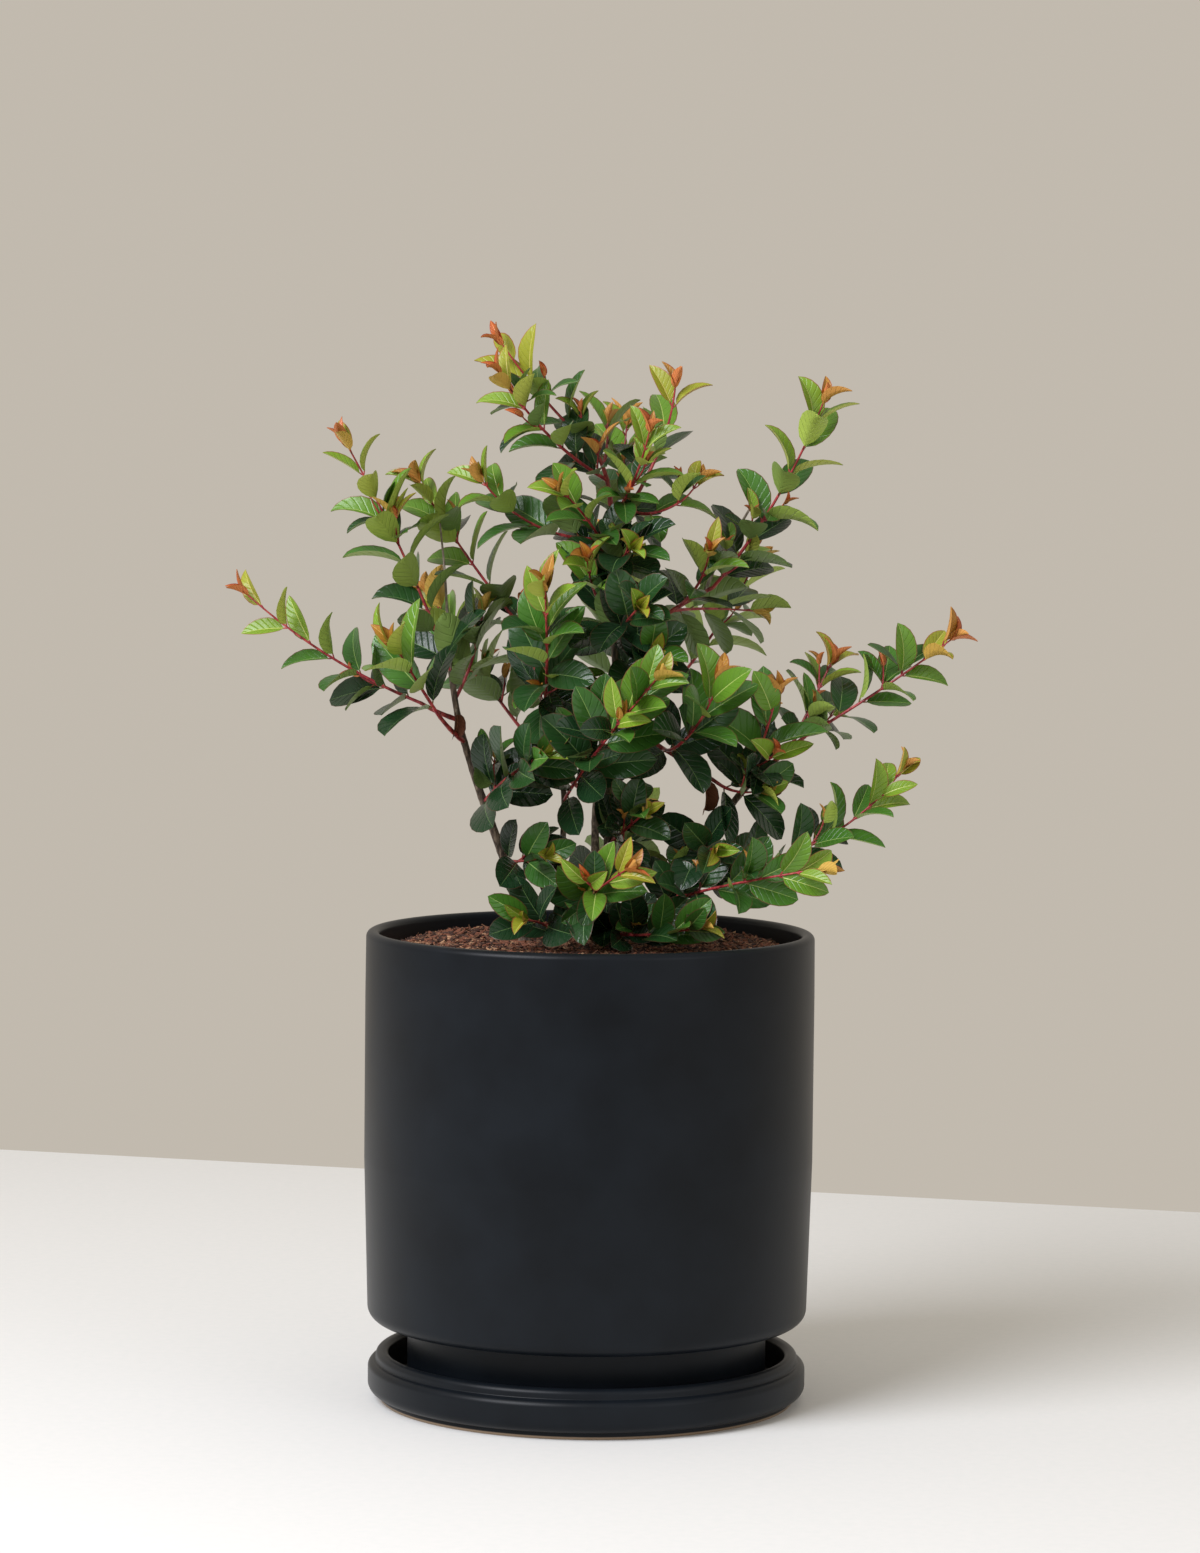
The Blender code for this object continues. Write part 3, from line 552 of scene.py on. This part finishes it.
def smoothPath(points, pieces=24):
    # a smooth curve through the points
    points = [np.array(p, float) for p in points]
    ends = [2 * points[0] - points[1]] + points + [2 * points[-1] - points[-2]]
    path = []
    for i in range(len(points) - 1):
        a, b, c, d = ends[i:i + 4]
        for k in range(pieces):
            u = k / pieces
            path.append(0.5 * (2 * b + (c - a) * u + (2 * a - 5 * b + 4 * c - d) * u ** 2
                               + (3 * b - a - 3 * c + d) * u ** 3))
    return np.array(path + [points[-1]])


def grownPath(start, length, heading, turn, rise, bend, pieces=32):
    # an arc that turns sideways and bends upwards evenly along its length
    share = (np.arange(pieces) + 0.5) / pieces
    flat = np.radians(heading + turn * share)
    lift = np.radians(rise + bend * share)
    steps = np.stack([np.cos(lift) * np.cos(flat), np.cos(lift) * np.sin(flat), np.sin(lift)], axis=-1)
    return np.vstack([start, start + np.cumsum(steps * length / pieces, axis=0)])


def directions(path):
    steps = np.gradient(path, axis=0)
    return steps / np.linalg.norm(steps, axis=1)[:, None]


def unit(vector):
    return vector / (np.linalg.norm(vector) + 1e-12)


limbs = {}
for name, stem in stems.items():
    start = (*stem["path"][0], mix["level"] - stemFoot["depth"])
    path = spaced(smoothPath([start, *stem["path"][1:]]), 1.0)
    share = np.linspace(0, 1, len(path))
    above = np.maximum(np.arange(len(path)) - stemFoot["depth"], 0)  # how far past the mix's surface
    radii = stem["thick"][0] + (stem["thick"][1] - stem["thick"][0]) * share
    flare = stem["flare"] * np.exp(-above / stemFoot["flareLength"])
    limbs[name] = {"path": path, "radii": radii + flare}
for name, (parent, share, *sizes) in boughs.items():
    base = limbs[parent]
    index = int(round(share * (len(base["path"]) - 1)))
    path = spaced(grownPath(base["path"][index], *sizes), 1.0)
    width = np.linspace(boughThick[0], boughThick[1], len(path))
    limbs[name] = {"path": path, "radii": np.minimum(width, base["radii"][index])}


# limbs as tubes with bark relief; knots are the steps from one old leaf's place to the next
bark = {"sides": 20, "relief": 0.42, "grain": 2.2, "stretch": 0.16, "knots": 17, "swell": 0.07}
redBark = {"sides": 12, "relief": 0.12, "grain": 1.6, "stretch": 0.25, "knots": 12, "swell": 0.10}
twig = {"sides": 6, "relief": 0.0, "grain": 1.0, "stretch": 1.0}
knotWidth = 1.3


def lineMesh(name, lines):
    # all the paths as one mesh of edges with a radius at each point; lines are (points, radii) in mm
    verts, edges, radii = [], [], []
    for points, widths in lines:
        start = len(verts)
        verts += [tuple(np.asarray(p) * mm) for p in points]
        radii += [w * mm for w in widths]
        edges += [(start + i, start + i + 1) for i in range(len(points) - 1)]
    mesh = bpy.data.meshes.new(name)
    mesh.from_pydata(verts, edges, [])
    thick = mesh.attributes.new("thick", "FLOAT", "POINT")
    thick.data.foreach_set("value", np.array(radii, np.float32))
    return mesh


def tubeTree():
    # Geometry Nodes: a tube along each line, its relief pushed out by a grain drawn lengthwise
    tree, given = newTree("tubesAlongPaths", Sides="Int", Relief="Float", Grain="Float", Stretch="Float",
                          Material="Material")
    thick = addNode(tree, "GeometryNodeInputNamedAttribute", {"Name": "thick"}, data_type="FLOAT")
    curve = addNode(tree, "GeometryNodeMeshToCurve", {"Mesh": given["Geometry"]})
    sized = addNode(tree, "GeometryNodeSetCurveRadius", {
        "Curve": curve.outputs[0], "Radius": thick.outputs[0]})
    ring = addNode(tree, "GeometryNodeCurvePrimitiveCircle", {"Resolution": given["Sides"], "Radius": 1.0})
    tube = addNode(tree, "GeometryNodeCurveToMesh", {
        "Curve": sized.outputs[0], "Profile Curve": ring.outputs["Curve"], "Scale": thick.outputs[0],
        "Fill Caps": True})
    where = addNode(tree, "GeometryNodeInputPosition")
    squeeze = addNode(tree, "ShaderNodeCombineXYZ", {0: 1.0, 1: 1.0, 2: given["Stretch"]})
    grain = addNode(tree, "ShaderNodeVectorMath", {0: where.outputs[0], 1: squeeze.outputs[0]},
                    operation="MULTIPLY")
    pattern = addNode(tree, "ShaderNodeTexNoise", {
        "Vector": grain.outputs[0], "Scale": given["Grain"], "Detail": 3.0})
    push = addNode(tree, "ShaderNodeMath", {0: pattern.outputs["Fac"], 1: 0.5}, operation="SUBTRACT")
    push = addNode(tree, "ShaderNodeMath", {0: push.outputs[0], 1: given["Relief"]}, operation="MULTIPLY")
    way = addNode(tree, "GeometryNodeInputNormal")
    offset = addNode(tree, "ShaderNodeVectorMath", {0: way.outputs[0], "Scale": push.outputs[0]},
                     operation="SCALE")
    moved = addNode(tree, "GeometryNodeSetPosition", {
        "Geometry": tube.outputs[0], "Offset": offset.outputs[0]})
    smooth = addNode(tree, "GeometryNodeSetShadeSmooth", {"Geometry": moved.outputs[0]})
    real = addNode(tree, "GeometryNodeRealizeInstances", {0: smooth.outputs[0]})
    done = addNode(tree, "GeometryNodeSetMaterial", {
        "Geometry": real.outputs[0], "Material": given["Material"]})
    addNode(tree, "NodeGroupOutput", {0: done.outputs[0]})
    return tree


tubes = tubeTree()


def makeTubes(name, lines, sizes, look):
    made = bpy.data.objects.new(name, lineMesh(name, lines))
    return runTree(made, tubes, Sides=sizes["sides"], Relief=sizes["relief"] * mm,
                   Grain=1 / (sizes["grain"] * mm), Stretch=sizes["stretch"], Material=look)


def barkMaterial(name, colours, grain, stretch, roughness):
    # bark drawn lengthwise: ridges pale, furrows dark
    made, tree, shader = newMaterial(name, colours[1], roughness)
    where = objectPlace(tree)
    along = addNode(tree, "ShaderNodeMapping", {"Vector": where, "Scale": (1, 1, stretch)})
    pattern = addNode(tree, "ShaderNodeTexNoise", {
        "Vector": along.outputs[0], "Scale": 1 / (grain * mm), "Detail": 4.0, "Roughness": 0.65})
    stops = [(0.34 + 0.16 * i, c) for i, c in enumerate(colours)]
    tree.links.new(colourRamp(tree, pattern.outputs["Fac"], stops), shader.inputs["Base Color"])
    addBump(tree, shader, pattern.outputs["Fac"], 0.6, 0.0004)
    return made


def knuckled(limb, sizes):
    # slight swellings where leaves stood
    steps = np.arange(len(limb["path"]))
    bulge = np.exp(-((steps % sizes["knots"] - sizes["knots"] / 2) / knotWidth) ** 2)
    return limb["path"], limb["radii"] * (1 + sizes["swell"] * bulge)


oldBark = barkMaterial("grooved grey-brown bark", ["#2b231d", "#574a3f", "#8a7a6a"], 1.6, 0.18, 0.85)
youngBark = barkMaterial("smooth young red bark", ["#5e1d1c", "#8b2b2a", "#a8483f"], 2.5, 0.3, 0.45)
for name in stems:
    piece = makeTubes(name + "_bark", [knuckled(limbs[name], bark)], bark, oldBark)
    place(piece, "grey_brown_bark", name)
for name in boughs:
    piece = makeTubes(name + "_bark", [knuckled(limbs[name], redBark)], redBark, youngBark)
    place(piece, "red_bark", name)
print("stems and boughs made")


# leafy shoots, grown by a seeded rule
growth = {
    "seed": 5,
    "firstNode": 7.0,
    "wideStep": 14.0,
    "tightStep": 9.0,
    "youngStretch": 0.85,
    "baseAngle": 62.0,
    "tipAngle": 30.0,
    "twigChance": 0.24,
    "twigZone": 0.72,
    "twigLength": (12, 26),
    "twigRadii": (0.7, 0.4),
    "shootRadii": (1.15, 0.5),
    "stalkRadii": [0.55, 0.5, 0.42],
    "gapChance": 0.06,
    "upPull": 0.45,
    "outPull": 0.70,
    "lightPull": 0.60,
    "lightWay": (-0.45, -0.75, 0.48),
    "leafScale": 1.26,
    "tipReach": 0.80,
    "crownCentre": (5, 0, 410),
}
leaf = {
    "stations": 9,
    "widthShare": 0.62,
    "youngNarrower": 0.30,
    "fold": 14.0,
    "youngFold": 26.0,
    "curl": 26.0,
    "youngCurl": 12.0,
    "tipShape": 0.55,
    "youngTipShape": 0.50,
    "footShape": 0.62,
    "wave": 0.05,
    "midrib": 0.26,
    "veins": 7.0,
    "veinSlant": 1.7,
    "veinWidth": 0.16,
    "quilting": 3.4,
    "margin": 0.42,
    "ribHeight": 0.10,
    "edgeDrop": 0.05,
    "sideDrop": 0.22,
    "ribDrop": 0.45,
    "potReach": 128.0,
    "clearOfMix": 269.0,
    "clearOfRim": 280.0,
    "lowest": 264.0,
    "lift": 0.6,
}
leaves = []
redTwigs = []
greenTwigs = []


def square(vector, axis):
    # the part of a vector that is square to an axis
    return unit(vector - axis * (vector @ axis))


def addLeaf(rng, foot, way, upper, length, age):
    # age 0 is old and broad, 1 is a folded young tip leaf
    # a leaf that would dip into the mix or the rim is lifted, or left out
    tip = foot + way * length
    overPot = math.hypot(tip[0], tip[1]) < leaf["potReach"]
    if tip[2] < (leaf["clearOfMix"] if overPot else leaf["clearOfRim"]):
        way = unit(way + np.array((0, 0, leaf["lift"])))
        upper = square(upper, way)
        tip = foot + way * length
        if tip[2] < leaf["lowest"]:
            return
    leaves.append({
        "foot": foot,
        "way": way,
        "upper": upper,
        "length": length,
        "width": length * (leaf["widthShare"] - leaf["youngNarrower"] * age) * rng.uniform(0.88, 1.1),
        "fold": math.radians(leaf["fold"] + leaf["youngFold"] * age + rng.uniform(-8, 8)),
        "curl": math.radians(leaf["curl"] + rng.uniform(-20, 26) + leaf["youngCurl"] * age),
        "tipShape": leaf["tipShape"] + leaf["youngTipShape"] * age,
        "wave": rng.uniform(-1, 1) * leaf["wave"],
        "age": age,
    })


def growShoot(rng, path, radii, length, youth, depth):
    # pairs of leaves at each node, each pair turned about a right angle from the last
    # a few leaves have a side twig by them, which grows in the same way at depth 1
    path = spaced(path, 1.0)
    ways = directions(path)
    count = len(path)
    spot = growth["firstNode"] * (1.0 if depth == 0 else 0.5)
    roll = rng.uniform(0, 180)
    up = np.array((0.0, 0.0, 1.0))
    while spot < count - 3:
        share = spot / count
        way = ways[int(spot)]
        side = square(np.cross(way, up) + 1e-6, way)
        above = np.cross(side, way)
        spread = growth["baseAngle"] + (growth["tipAngle"] - growth["baseAngle"]) * share
        angle = math.radians(spread + rng.uniform(-9, 9))
        # leaves are largest at mid-shoot and younger towards its tip
        size = length * (0.92 + 0.34 * share - 0.62 * share ** 3) * rng.uniform(0.85, 1.1)
        age = youth * 0.52 + (share - 0.5) * 0.72 * (0.4 + youth) + rng.uniform(-0.09, 0.09)
        age = min(1.0, max(0.0, age))
        for half in (0, 180):
            if rng.random() < growth["gapChance"]:
                continue
            around = math.radians(roll + half + rng.uniform(-14, 14))
            out = side * math.cos(around) + above * math.sin(around)
            at = path[min(count - 1, int(spot + rng.uniform(0, 3)))]
            leafWay = unit(way * math.cos(angle) + out * math.sin(angle) + up * 0.10)
            outward = unit(at - np.array(growth["crownCentre"]))
            facing = way * 0.4 + up * growth["upPull"] + outward * growth["outPull"]
            facing = facing + np.array(growth["lightWay"]) * growth["lightPull"]
            facing = facing + np.array([rng.uniform(-0.45, 0.45) for _ in range(3)])
            upper = square(facing, leafWay)
            radius = float(np.interp(share, (0, 1), radii))
            foot = at + out * radius
            stalk = foot + leafWay * rng.uniform(1.2, 2.6)
            (redTwigs if age > 0.3 else greenTwigs).append(([at, foot, stalk], growth["stalkRadii"]))
            addLeaf(rng, stalk, leafWay, upper, size, age)
            if depth == 0 and share < growth["twigZone"] and rng.random() < growth["twigChance"]:
                twigLength = rng.uniform(*growth["twigLength"]) * (1.05 - 0.5 * share)
                heading = math.degrees(math.atan2(leafWay[1], leafWay[0]))
                rise = math.degrees(math.asin(max(-1, min(1, leafWay[2]))))
                heading = heading + rng.uniform(-25, 25)
                twigPath = grownPath(at, twigLength, heading, 0, max(rise, -5) + 12, 30, 12)
                redTwigs.append((twigPath, np.linspace(*growth["twigRadii"], len(twigPath))))
                twigLeaf = length * rng.uniform(0.55, 0.8)
                twigYouth = min(1.0, youth + rng.uniform(-0.1, 0.25))
                growShoot(rng, twigPath, growth["twigRadii"], twigLeaf, twigYouth, 1)
        step = growth["wideStep"] + (growth["tightStep"] - growth["wideStep"]) * share
        step = step * (0.78 + growth["youngStretch"] * youth * (0.4 + share))  # the outer shoots stand open
        spot += step * rng.uniform(0.85, 1.15) * (1.0 if depth == 0 else 0.8)
        roll += 90 + rng.uniform(-18, 18)
    # the growing tip: a few small folded leaves
    way = ways[-1]
    for k in range(3 if depth == 0 else 2):
        side = square(np.cross(way, up) + 1e-6, way)
        above = np.cross(side, way)
        around = math.radians(roll + 137 * k)
        out = side * math.cos(around) + above * math.sin(around)
        angle = math.radians(9 + 9 * k)
        tipWay = unit(way * math.cos(angle) + out * math.sin(angle))
        upper = square(-out * 0.8 + way, tipWay)
        age = min(1.0, 0.46 + 0.55 * youth + rng.uniform(0, 0.1))
        addLeaf(rng, path[-1], tipWay, upper, length * (0.46 + 0.06 * k), age)


for order, (name, (parent, share, *sizes, leafLength, youth)) in enumerate(shoots.items()):
    rng = random.Random(growth["seed"] * 1000 + order)
    base = limbs[parent]
    index = int(round(share * (len(base["path"]) - 1)))
    path = spaced(grownPath(base["path"][index], *sizes), 1.0)
    path = path[:len(path) - int(growth["tipReach"] * leafLength)]  # the last leaves make up the rest
    line = spaced(path, 4.0)
    thickest, thinnest = growth["shootRadii"]
    start = min(float(base["radii"][index]), thickest)
    redTwigs.append((line, np.linspace(start, thinnest, len(line))))
    growShoot(rng, path, (start, thinnest), leafLength * growth["leafScale"], youth, 0)
print(len(leaves), "leaves grown")


def limbPoint(name, share):
    # the point at a share of a limb's length
    path = limbs[name]["path"]
    return path[int(round(share * (len(path) - 1)))]


# bare grey twigs that died back: the limb and share they leave from, then (x, y, z) points in mm
dryTwigs = [
    ("left_stem", 1.0, [(-84, 8, 448), (-86, 13, 476), (-89, 15, 504)]),
    ("right_top_bough", 0.92, [(72, 17, 486), (85, 20, 507), (96, 22, 526)]),
    ("main_stem", 0.01, [(0, -9, 268), (-6, -14, 281)]),
    ("main_stem", 0.02, [(17, -6, 267), (22, -9, 277)]),
]
# dead leaves still hanging: limb, share, heading and rise in degrees, and length
deadLeaves = [
    ("main_stem", 0.97, -110, -35, 21),
    ("slim_stem", 0.42, -140, -60, 18),
    ("mid_right_bough", 0.85, -70, -50, 19),
    ("far_right_bough", 0.35, -100, -55, 18),
    ("left_stem", 0.88, -80, -55, 15),
]
deadLeaf = {
    "stalkLength": 7.0,
    "stalkRadius": 0.45,
    "facing": (0.3, -0.8, 0.5),
    "widthShare": 0.55,
    "fold": 58.0,
    "curl": 120.0,
    "tipShape": 0.7,
    "wave": 0.14,
}
dryBark = barkMaterial("dry grey twig", ["#5b5148", "#857a6d", "#a89d8e"], 1.4, 0.2, 0.9)
dryLines = []
for name, share, points in dryTwigs:
    line = spaced(smoothPath([limbPoint(name, share), *points]), 3.0)
    dryLines.append((line, np.linspace(1.1, 0.6, len(line))))
dead = []
for name, share, heading, rise, length in deadLeaves:
    stalk = grownPath(limbPoint(name, share), deadLeaf["stalkLength"], heading, 0, rise, 0, 4)
    dryLines.append((stalk, np.full(len(stalk), deadLeaf["stalkRadius"])))
    way = unit(stalk[-1] - stalk[0])
    dead.append({
        **deadLeaf,
        "foot": stalk[-1],
        "way": way,
        "upper": square(np.array(deadLeaf["facing"]), way),
        "length": length,
        "width": length * deadLeaf["widthShare"],
        "fold": math.radians(deadLeaf["fold"]),
        "curl": math.radians(deadLeaf["curl"]),
    })
place(makeTubes("dryTwigs", dryLines, twig, dryBark), "grey_brown_bark")


# leaves as joined meshes
def leafArrays(grown):
    # blade, midrib, margin and underside of every leaf
    # returns for each kind its points in metres, quads, and where each point lies on its leaf
    n = leaf["stations"]
    u = np.linspace(0, 1, n)
    u = u - 0.10 * np.sin(2 * np.pi * u) / 2  # stations lie closer at the foot and the tip
    kinds = {kind: ([], []) for kind in leafRelief}
    for one in grown:
        length, width = one["length"], one["width"]
        slope = math.tan(one["fold"])
        outline = (u ** leaf["footShape"]) * ((1 - u) ** one["tipShape"])
        half = np.maximum(0.02, outline / outline.max()) * width / 2
        half[0] = 0.25
        half[-1] = 0.06
        bend = one["curl"] * (u - 0.15)
        mid = np.zeros((n, 3))
        step = np.diff(u) * length
        middle = (bend[1:] + bend[:-1]) / 2
        mid[1:, 0] = np.cumsum(np.cos(middle) * step)
        mid[1:, 2] = -np.cumsum(np.sin(middle) * step)
        normal = np.stack([np.sin(bend), np.zeros(n), np.cos(bend)], axis=-1)
        x = one["way"]
        z = one["upper"]
        y = np.cross(z, x)
        turn = np.stack([x, y, z])
        rim = np.minimum(leaf["margin"], half * 0.3)
        rib = np.minimum(leaf["midrib"] * (1 - 0.7 * u), half * 0.45) * (0.6 + 0.4 * length / 30)

        def row(across, lift):
            # points at a distance across the blade, on its folded and drooping section
            share = across / np.maximum(half, 1e-6)
            # one half arches over a little and the other turns up
            rise = np.abs(across) * slope - 0.35 * across * share * np.sign(across) * slope
            rise = rise + one["wave"] * half * np.sin(9 * u + 3 * np.sign(across)) * share ** 2
            local = mid + normal * (rise + lift)[:, None]
            local[:, 1] += across
            return np.hstack([one["foot"] + local @ turn, np.stack([u, share, np.zeros(n)], axis=-1)])

        def strip(kind, columns, flip=False):
            verts, faces = kinds[kind]
            start = sum(len(v) for v in verts)
            grid = np.stack(columns, axis=1)
            verts.append(grid.reshape(-1, 6))
            k = len(columns)
            i, j = np.meshgrid(np.arange(n - 1), np.arange(k - 1), indexing="ij")
            a = start + i * k + j
            quad = np.stack([a, a + k, a + k + 1, a + 1], axis=-1).reshape(-1, 4)
            faces.append(quad[:, [0, 3, 2, 1]] if flip else quad)  # both sides split on the same diagonal

        zero = np.zeros(n)
        inner = half - rim
        strip("blade", [row(-inner, zero), row(-half * 0.5, zero), row(-rib, zero)])
        strip("blade", [row(rib, zero), row(half * 0.5, zero), row(inner, zero)])
        edge, side, under = zero - leaf["edgeDrop"], zero - leaf["sideDrop"], zero - leaf["ribDrop"]
        strip("midrib", [row(-rib, zero), row(zero, zero + leaf["ribHeight"]), row(rib, zero)])
        strip("margin", [row(-half, edge), row(-inner, zero)])
        strip("margin", [row(inner, zero), row(half, edge)])
        strip("underside", [row(-half, edge), row(-half * 0.5, side), row(zero, under),
                            row(half * 0.5, side), row(half, edge)], flip=True)
    arrays = {}
    for kind, (verts, faces) in kinds.items():
        verts = np.vstack(verts)
        arrays[kind] = (verts[:, :3] * mm, np.vstack(faces), verts[:, 3:])
    return arrays


def leafMaterial(name, colour, roughness, relief):
    # waxy leaf: plain colour, a broad sheen broken by sunk side veins and fine quilting
    made, tree, shader = newMaterial(name, colour, roughness, IOR=1.45)
    if not relief:
        return made
    where = objectPlace(tree)
    quilt = addNode(tree, "ShaderNodeTexNoise", {
        "Vector": where, "Scale": 1 / (leaf["quilting"] * mm), "Detail": 2.0})
    spot = addNode(tree, "ShaderNodeAttribute", attribute_name="leafPlace")
    parts = addNode(tree, "ShaderNodeSeparateXYZ", {"Vector": spot.outputs["Vector"]})
    side = addNode(tree, "ShaderNodeMath", {0: parts.outputs["Y"]}, operation="ABSOLUTE")
    slant = addNode(tree, "ShaderNodeMath", {0: side.outputs[0], 1: leaf["veinSlant"]}, operation="MULTIPLY")
    along = addNode(tree, "ShaderNodeMath", {0: parts.outputs["X"], 1: leaf["veins"]}, operation="MULTIPLY")
    marks = addNode(tree, "ShaderNodeMath", {0: along.outputs[0], 1: slant.outputs[0]}, operation="SUBTRACT")
    near = addNode(tree, "ShaderNodeMath", {0: marks.outputs[0], 1: 0.5}, operation="PINGPONG")
    sunk = addNode(tree, "ShaderNodeMapRange", {"Value": near.outputs[0], "From Max": leaf["veinWidth"]})
    height = addNode(tree, "ShaderNodeMath", {0: sunk.outputs[0], 1: quilt.outputs["Fac"]}, operation="ADD")
    addBump(tree, shader, height.outputs[0], relief, 0.0005)
    return made


leafRelief = {"blade": 0.45, "midrib": 0.0, "margin": 0.0, "underside": 0.6}
# name, upper age limit, blade, midrib, margin and underside colours, and roughness
leafGroups = [
    ("deep", 0.08, "#17331b", "#5f7c48", "#3f3324", "#6f8a4a", 0.27),
    ("dark", 0.17, "#22451f", "#6d8950", "#4b3a26", "#7e9a4e", 0.28),
    ("green", 0.25, "#2f5a1f", "#84a158", "#54402a", "#8aa450", 0.29),
    ("fresh", 0.35, "#3f6e22", "#97b262", "#5f472a", "#98b051", 0.30),
    ("bright", 0.46, "#5c8526", "#b0c06c", "#6e522c", "#a5bb52", 0.31),
    ("lime", 0.57, "#76962b", "#c2c974", "#82602e", "#b3bd52", 0.33),
    ("olive", 0.70, "#94992d", "#cdbf6e", "#96602f", "#c9a24c", 0.34),
    ("amber", 0.84, "#ab7a2e", "#d6a95c", "#93502a", "#d0954a", 0.36),
    ("bronze", 9.0, "#b7602c", "#d98f55", "#8c3a22", "#d6804a", 0.38),
]
deadColours = ("#6a3f2a", "#8a5b3c", "#4e2c1e", "#7a4c33")
deadRoughness = 0.8
duller = 0.15  # how much rougher a live leaf's underside is


def layLeaves(grown, lookName, pieceName, colours, roughness, more=0.0):
    # one piece with its own finish for each kind of surface
    arrays = leafArrays(grown)
    for (kind, relief), colour in zip(leafRelief.items(), colours):
        rough = roughness + (more if kind == "underside" else 0.0)
        look = leafMaterial(f"{lookName} {kind}", colour, rough, relief)
        verts, faces, places = arrays[kind]
        piece = addObject(pieceName.format(kind), verts, faces, look, leafPlaces=places)
        place(piece, "green_leaves")


layLeaves(dead, "dry brown leaf", "dead_leaf_{}", deadColours, deadRoughness)
lowest = -1.0
for name, limit, *colours, roughness in leafGroups:
    grown = [one for one in leaves if lowest <= one["age"] < limit]
    lowest = limit
    layLeaves(grown, f"waxy {name} leaf", f"leaf_{{}}_{name}", colours, roughness, duller)
    print(name, len(grown), "leaves")

redTwigLook = barkMaterial("young crimson shoot", ["#6d1a22", "#a3303a", "#b9504a"], 3.0, 0.4, 0.4)
greenTwigLook = barkMaterial("leaf stalk", ["#5d3020", "#7a4a2c", "#8a7a45"], 3.0, 0.4, 0.5)
place(makeTubes("leafyShoots", redTwigs, twig, redTwigLook), "red_bark", *shoots)
place(makeTubes("leafStalks", greenTwigs, twig, greenTwigLook), "red_bark")
print("shoots and leaves made")


# floor, light and camera
view = {
    "focal": 4595.8,  # this and the frame's height are in pixels of the photograph
    "frameHeight": 1553,
    "distance": 2632.0,
    "height": 538.0,
    "side": 4.5,
    "pitch": 0.0675,
    "roll": 0.0103,
}
room = {
    "farEdge": (7.6, 805.0, 0.0),  # the middle of the floor's far edge, in mm
    "edgeTurn": -15.2,
    "half": 1500.0,
    "floor": ("#e5e6e5", "#e8e8e7"),
    "air": "#c9c1b5",
    "airStrength": 0.92,
    "lightColour": "#f6f8ff",
    "lightTarget": (0, 0, 0.3),
}
# name, power, width and place in metres
lights = [
    ("window", 84.0, 1.7, (-1.5, -1.5, 1.9)),
    ("softFill", 7.0, 1.6, (1.6, -1.6, 1.1)),
]


def makeRoom():
    look, tree, shader = newMaterial("matte white floor", room["floor"][0], 0.8)
    where = objectPlace(tree)
    fine = addNode(tree, "ShaderNodeTexNoise", {"Vector": where, "Scale": 1 / 0.006, "Detail": 2.0})
    colour = colourRamp(tree, fine.outputs["Fac"], list(zip((0.3, 0.7), room["floor"])))
    tree.links.new(colour, shader.inputs["Base Color"])
    turn = Matrix.Rotation(math.radians(room["edgeTurn"]), 3, "Z")
    half = room["half"]
    corners = [(-half, -half, 0), (half, -half, 0), (half, 0, 0), (-half, 0, 0)]
    verts = [tuple((turn @ Vector(c) + Vector(room["farEdge"])) * mm) for c in corners]
    floor = addObject("floor", verts, [(0, 1, 2, 3)], look, smooth=False)
    world = bpy.data.worlds.new("plain soft air")
    world.use_nodes = True
    bpy.context.scene.world = world
    back = world.node_tree.nodes["Background"]
    back.inputs["Color"].default_value = toLinear(room["air"])
    back.inputs["Strength"].default_value = room["airStrength"]


def addLight(name, power, size, location):
    data = bpy.data.lights.new(name, "AREA")
    data.energy = power
    data.shape = "DISK"
    data.size = size
    data.color = toLinear(room["lightColour"])[:3]
    made = bpy.data.objects.new(name, data)
    made.location = location
    aim = Vector(room["lightTarget"]) - Vector(location)
    made.rotation_euler = aim.to_track_quat("-Z", "Y").to_euler()
    bpy.context.scene.collection.objects.link(made)


def makeCamera():
    pitch, roll = view["pitch"], view["roll"]
    forward = Vector((0, math.cos(pitch), -math.sin(pitch)))
    right = Vector((1, 0, 0))
    up = right.cross(forward)
    turnedRight = math.cos(roll) * right + math.sin(roll) * up
    turnedUp = -math.sin(roll) * right + math.cos(roll) * up
    data = bpy.data.cameras.new("camera")
    data.sensor_width = 36.0
    data.lens = view["focal"] * data.sensor_width / view["frameHeight"]
    data.clip_end = 50
    made = bpy.data.objects.new("camera", data)
    columns = Matrix((turnedRight, turnedUp, -forward)).transposed()
    standing = Vector((view["side"], -view["distance"], view["height"])) * mm
    made.matrix_world = Matrix.Translation(standing) @ columns.to_4x4()
    bpy.context.scene.collection.objects.link(made)
    bpy.context.scene.camera = made


makeRoom()
for light in lights:
    addLight(*light)
makeCamera()
bpy.context.scene.view_settings.view_transform = "Standard"
print("floor, light and camera made")
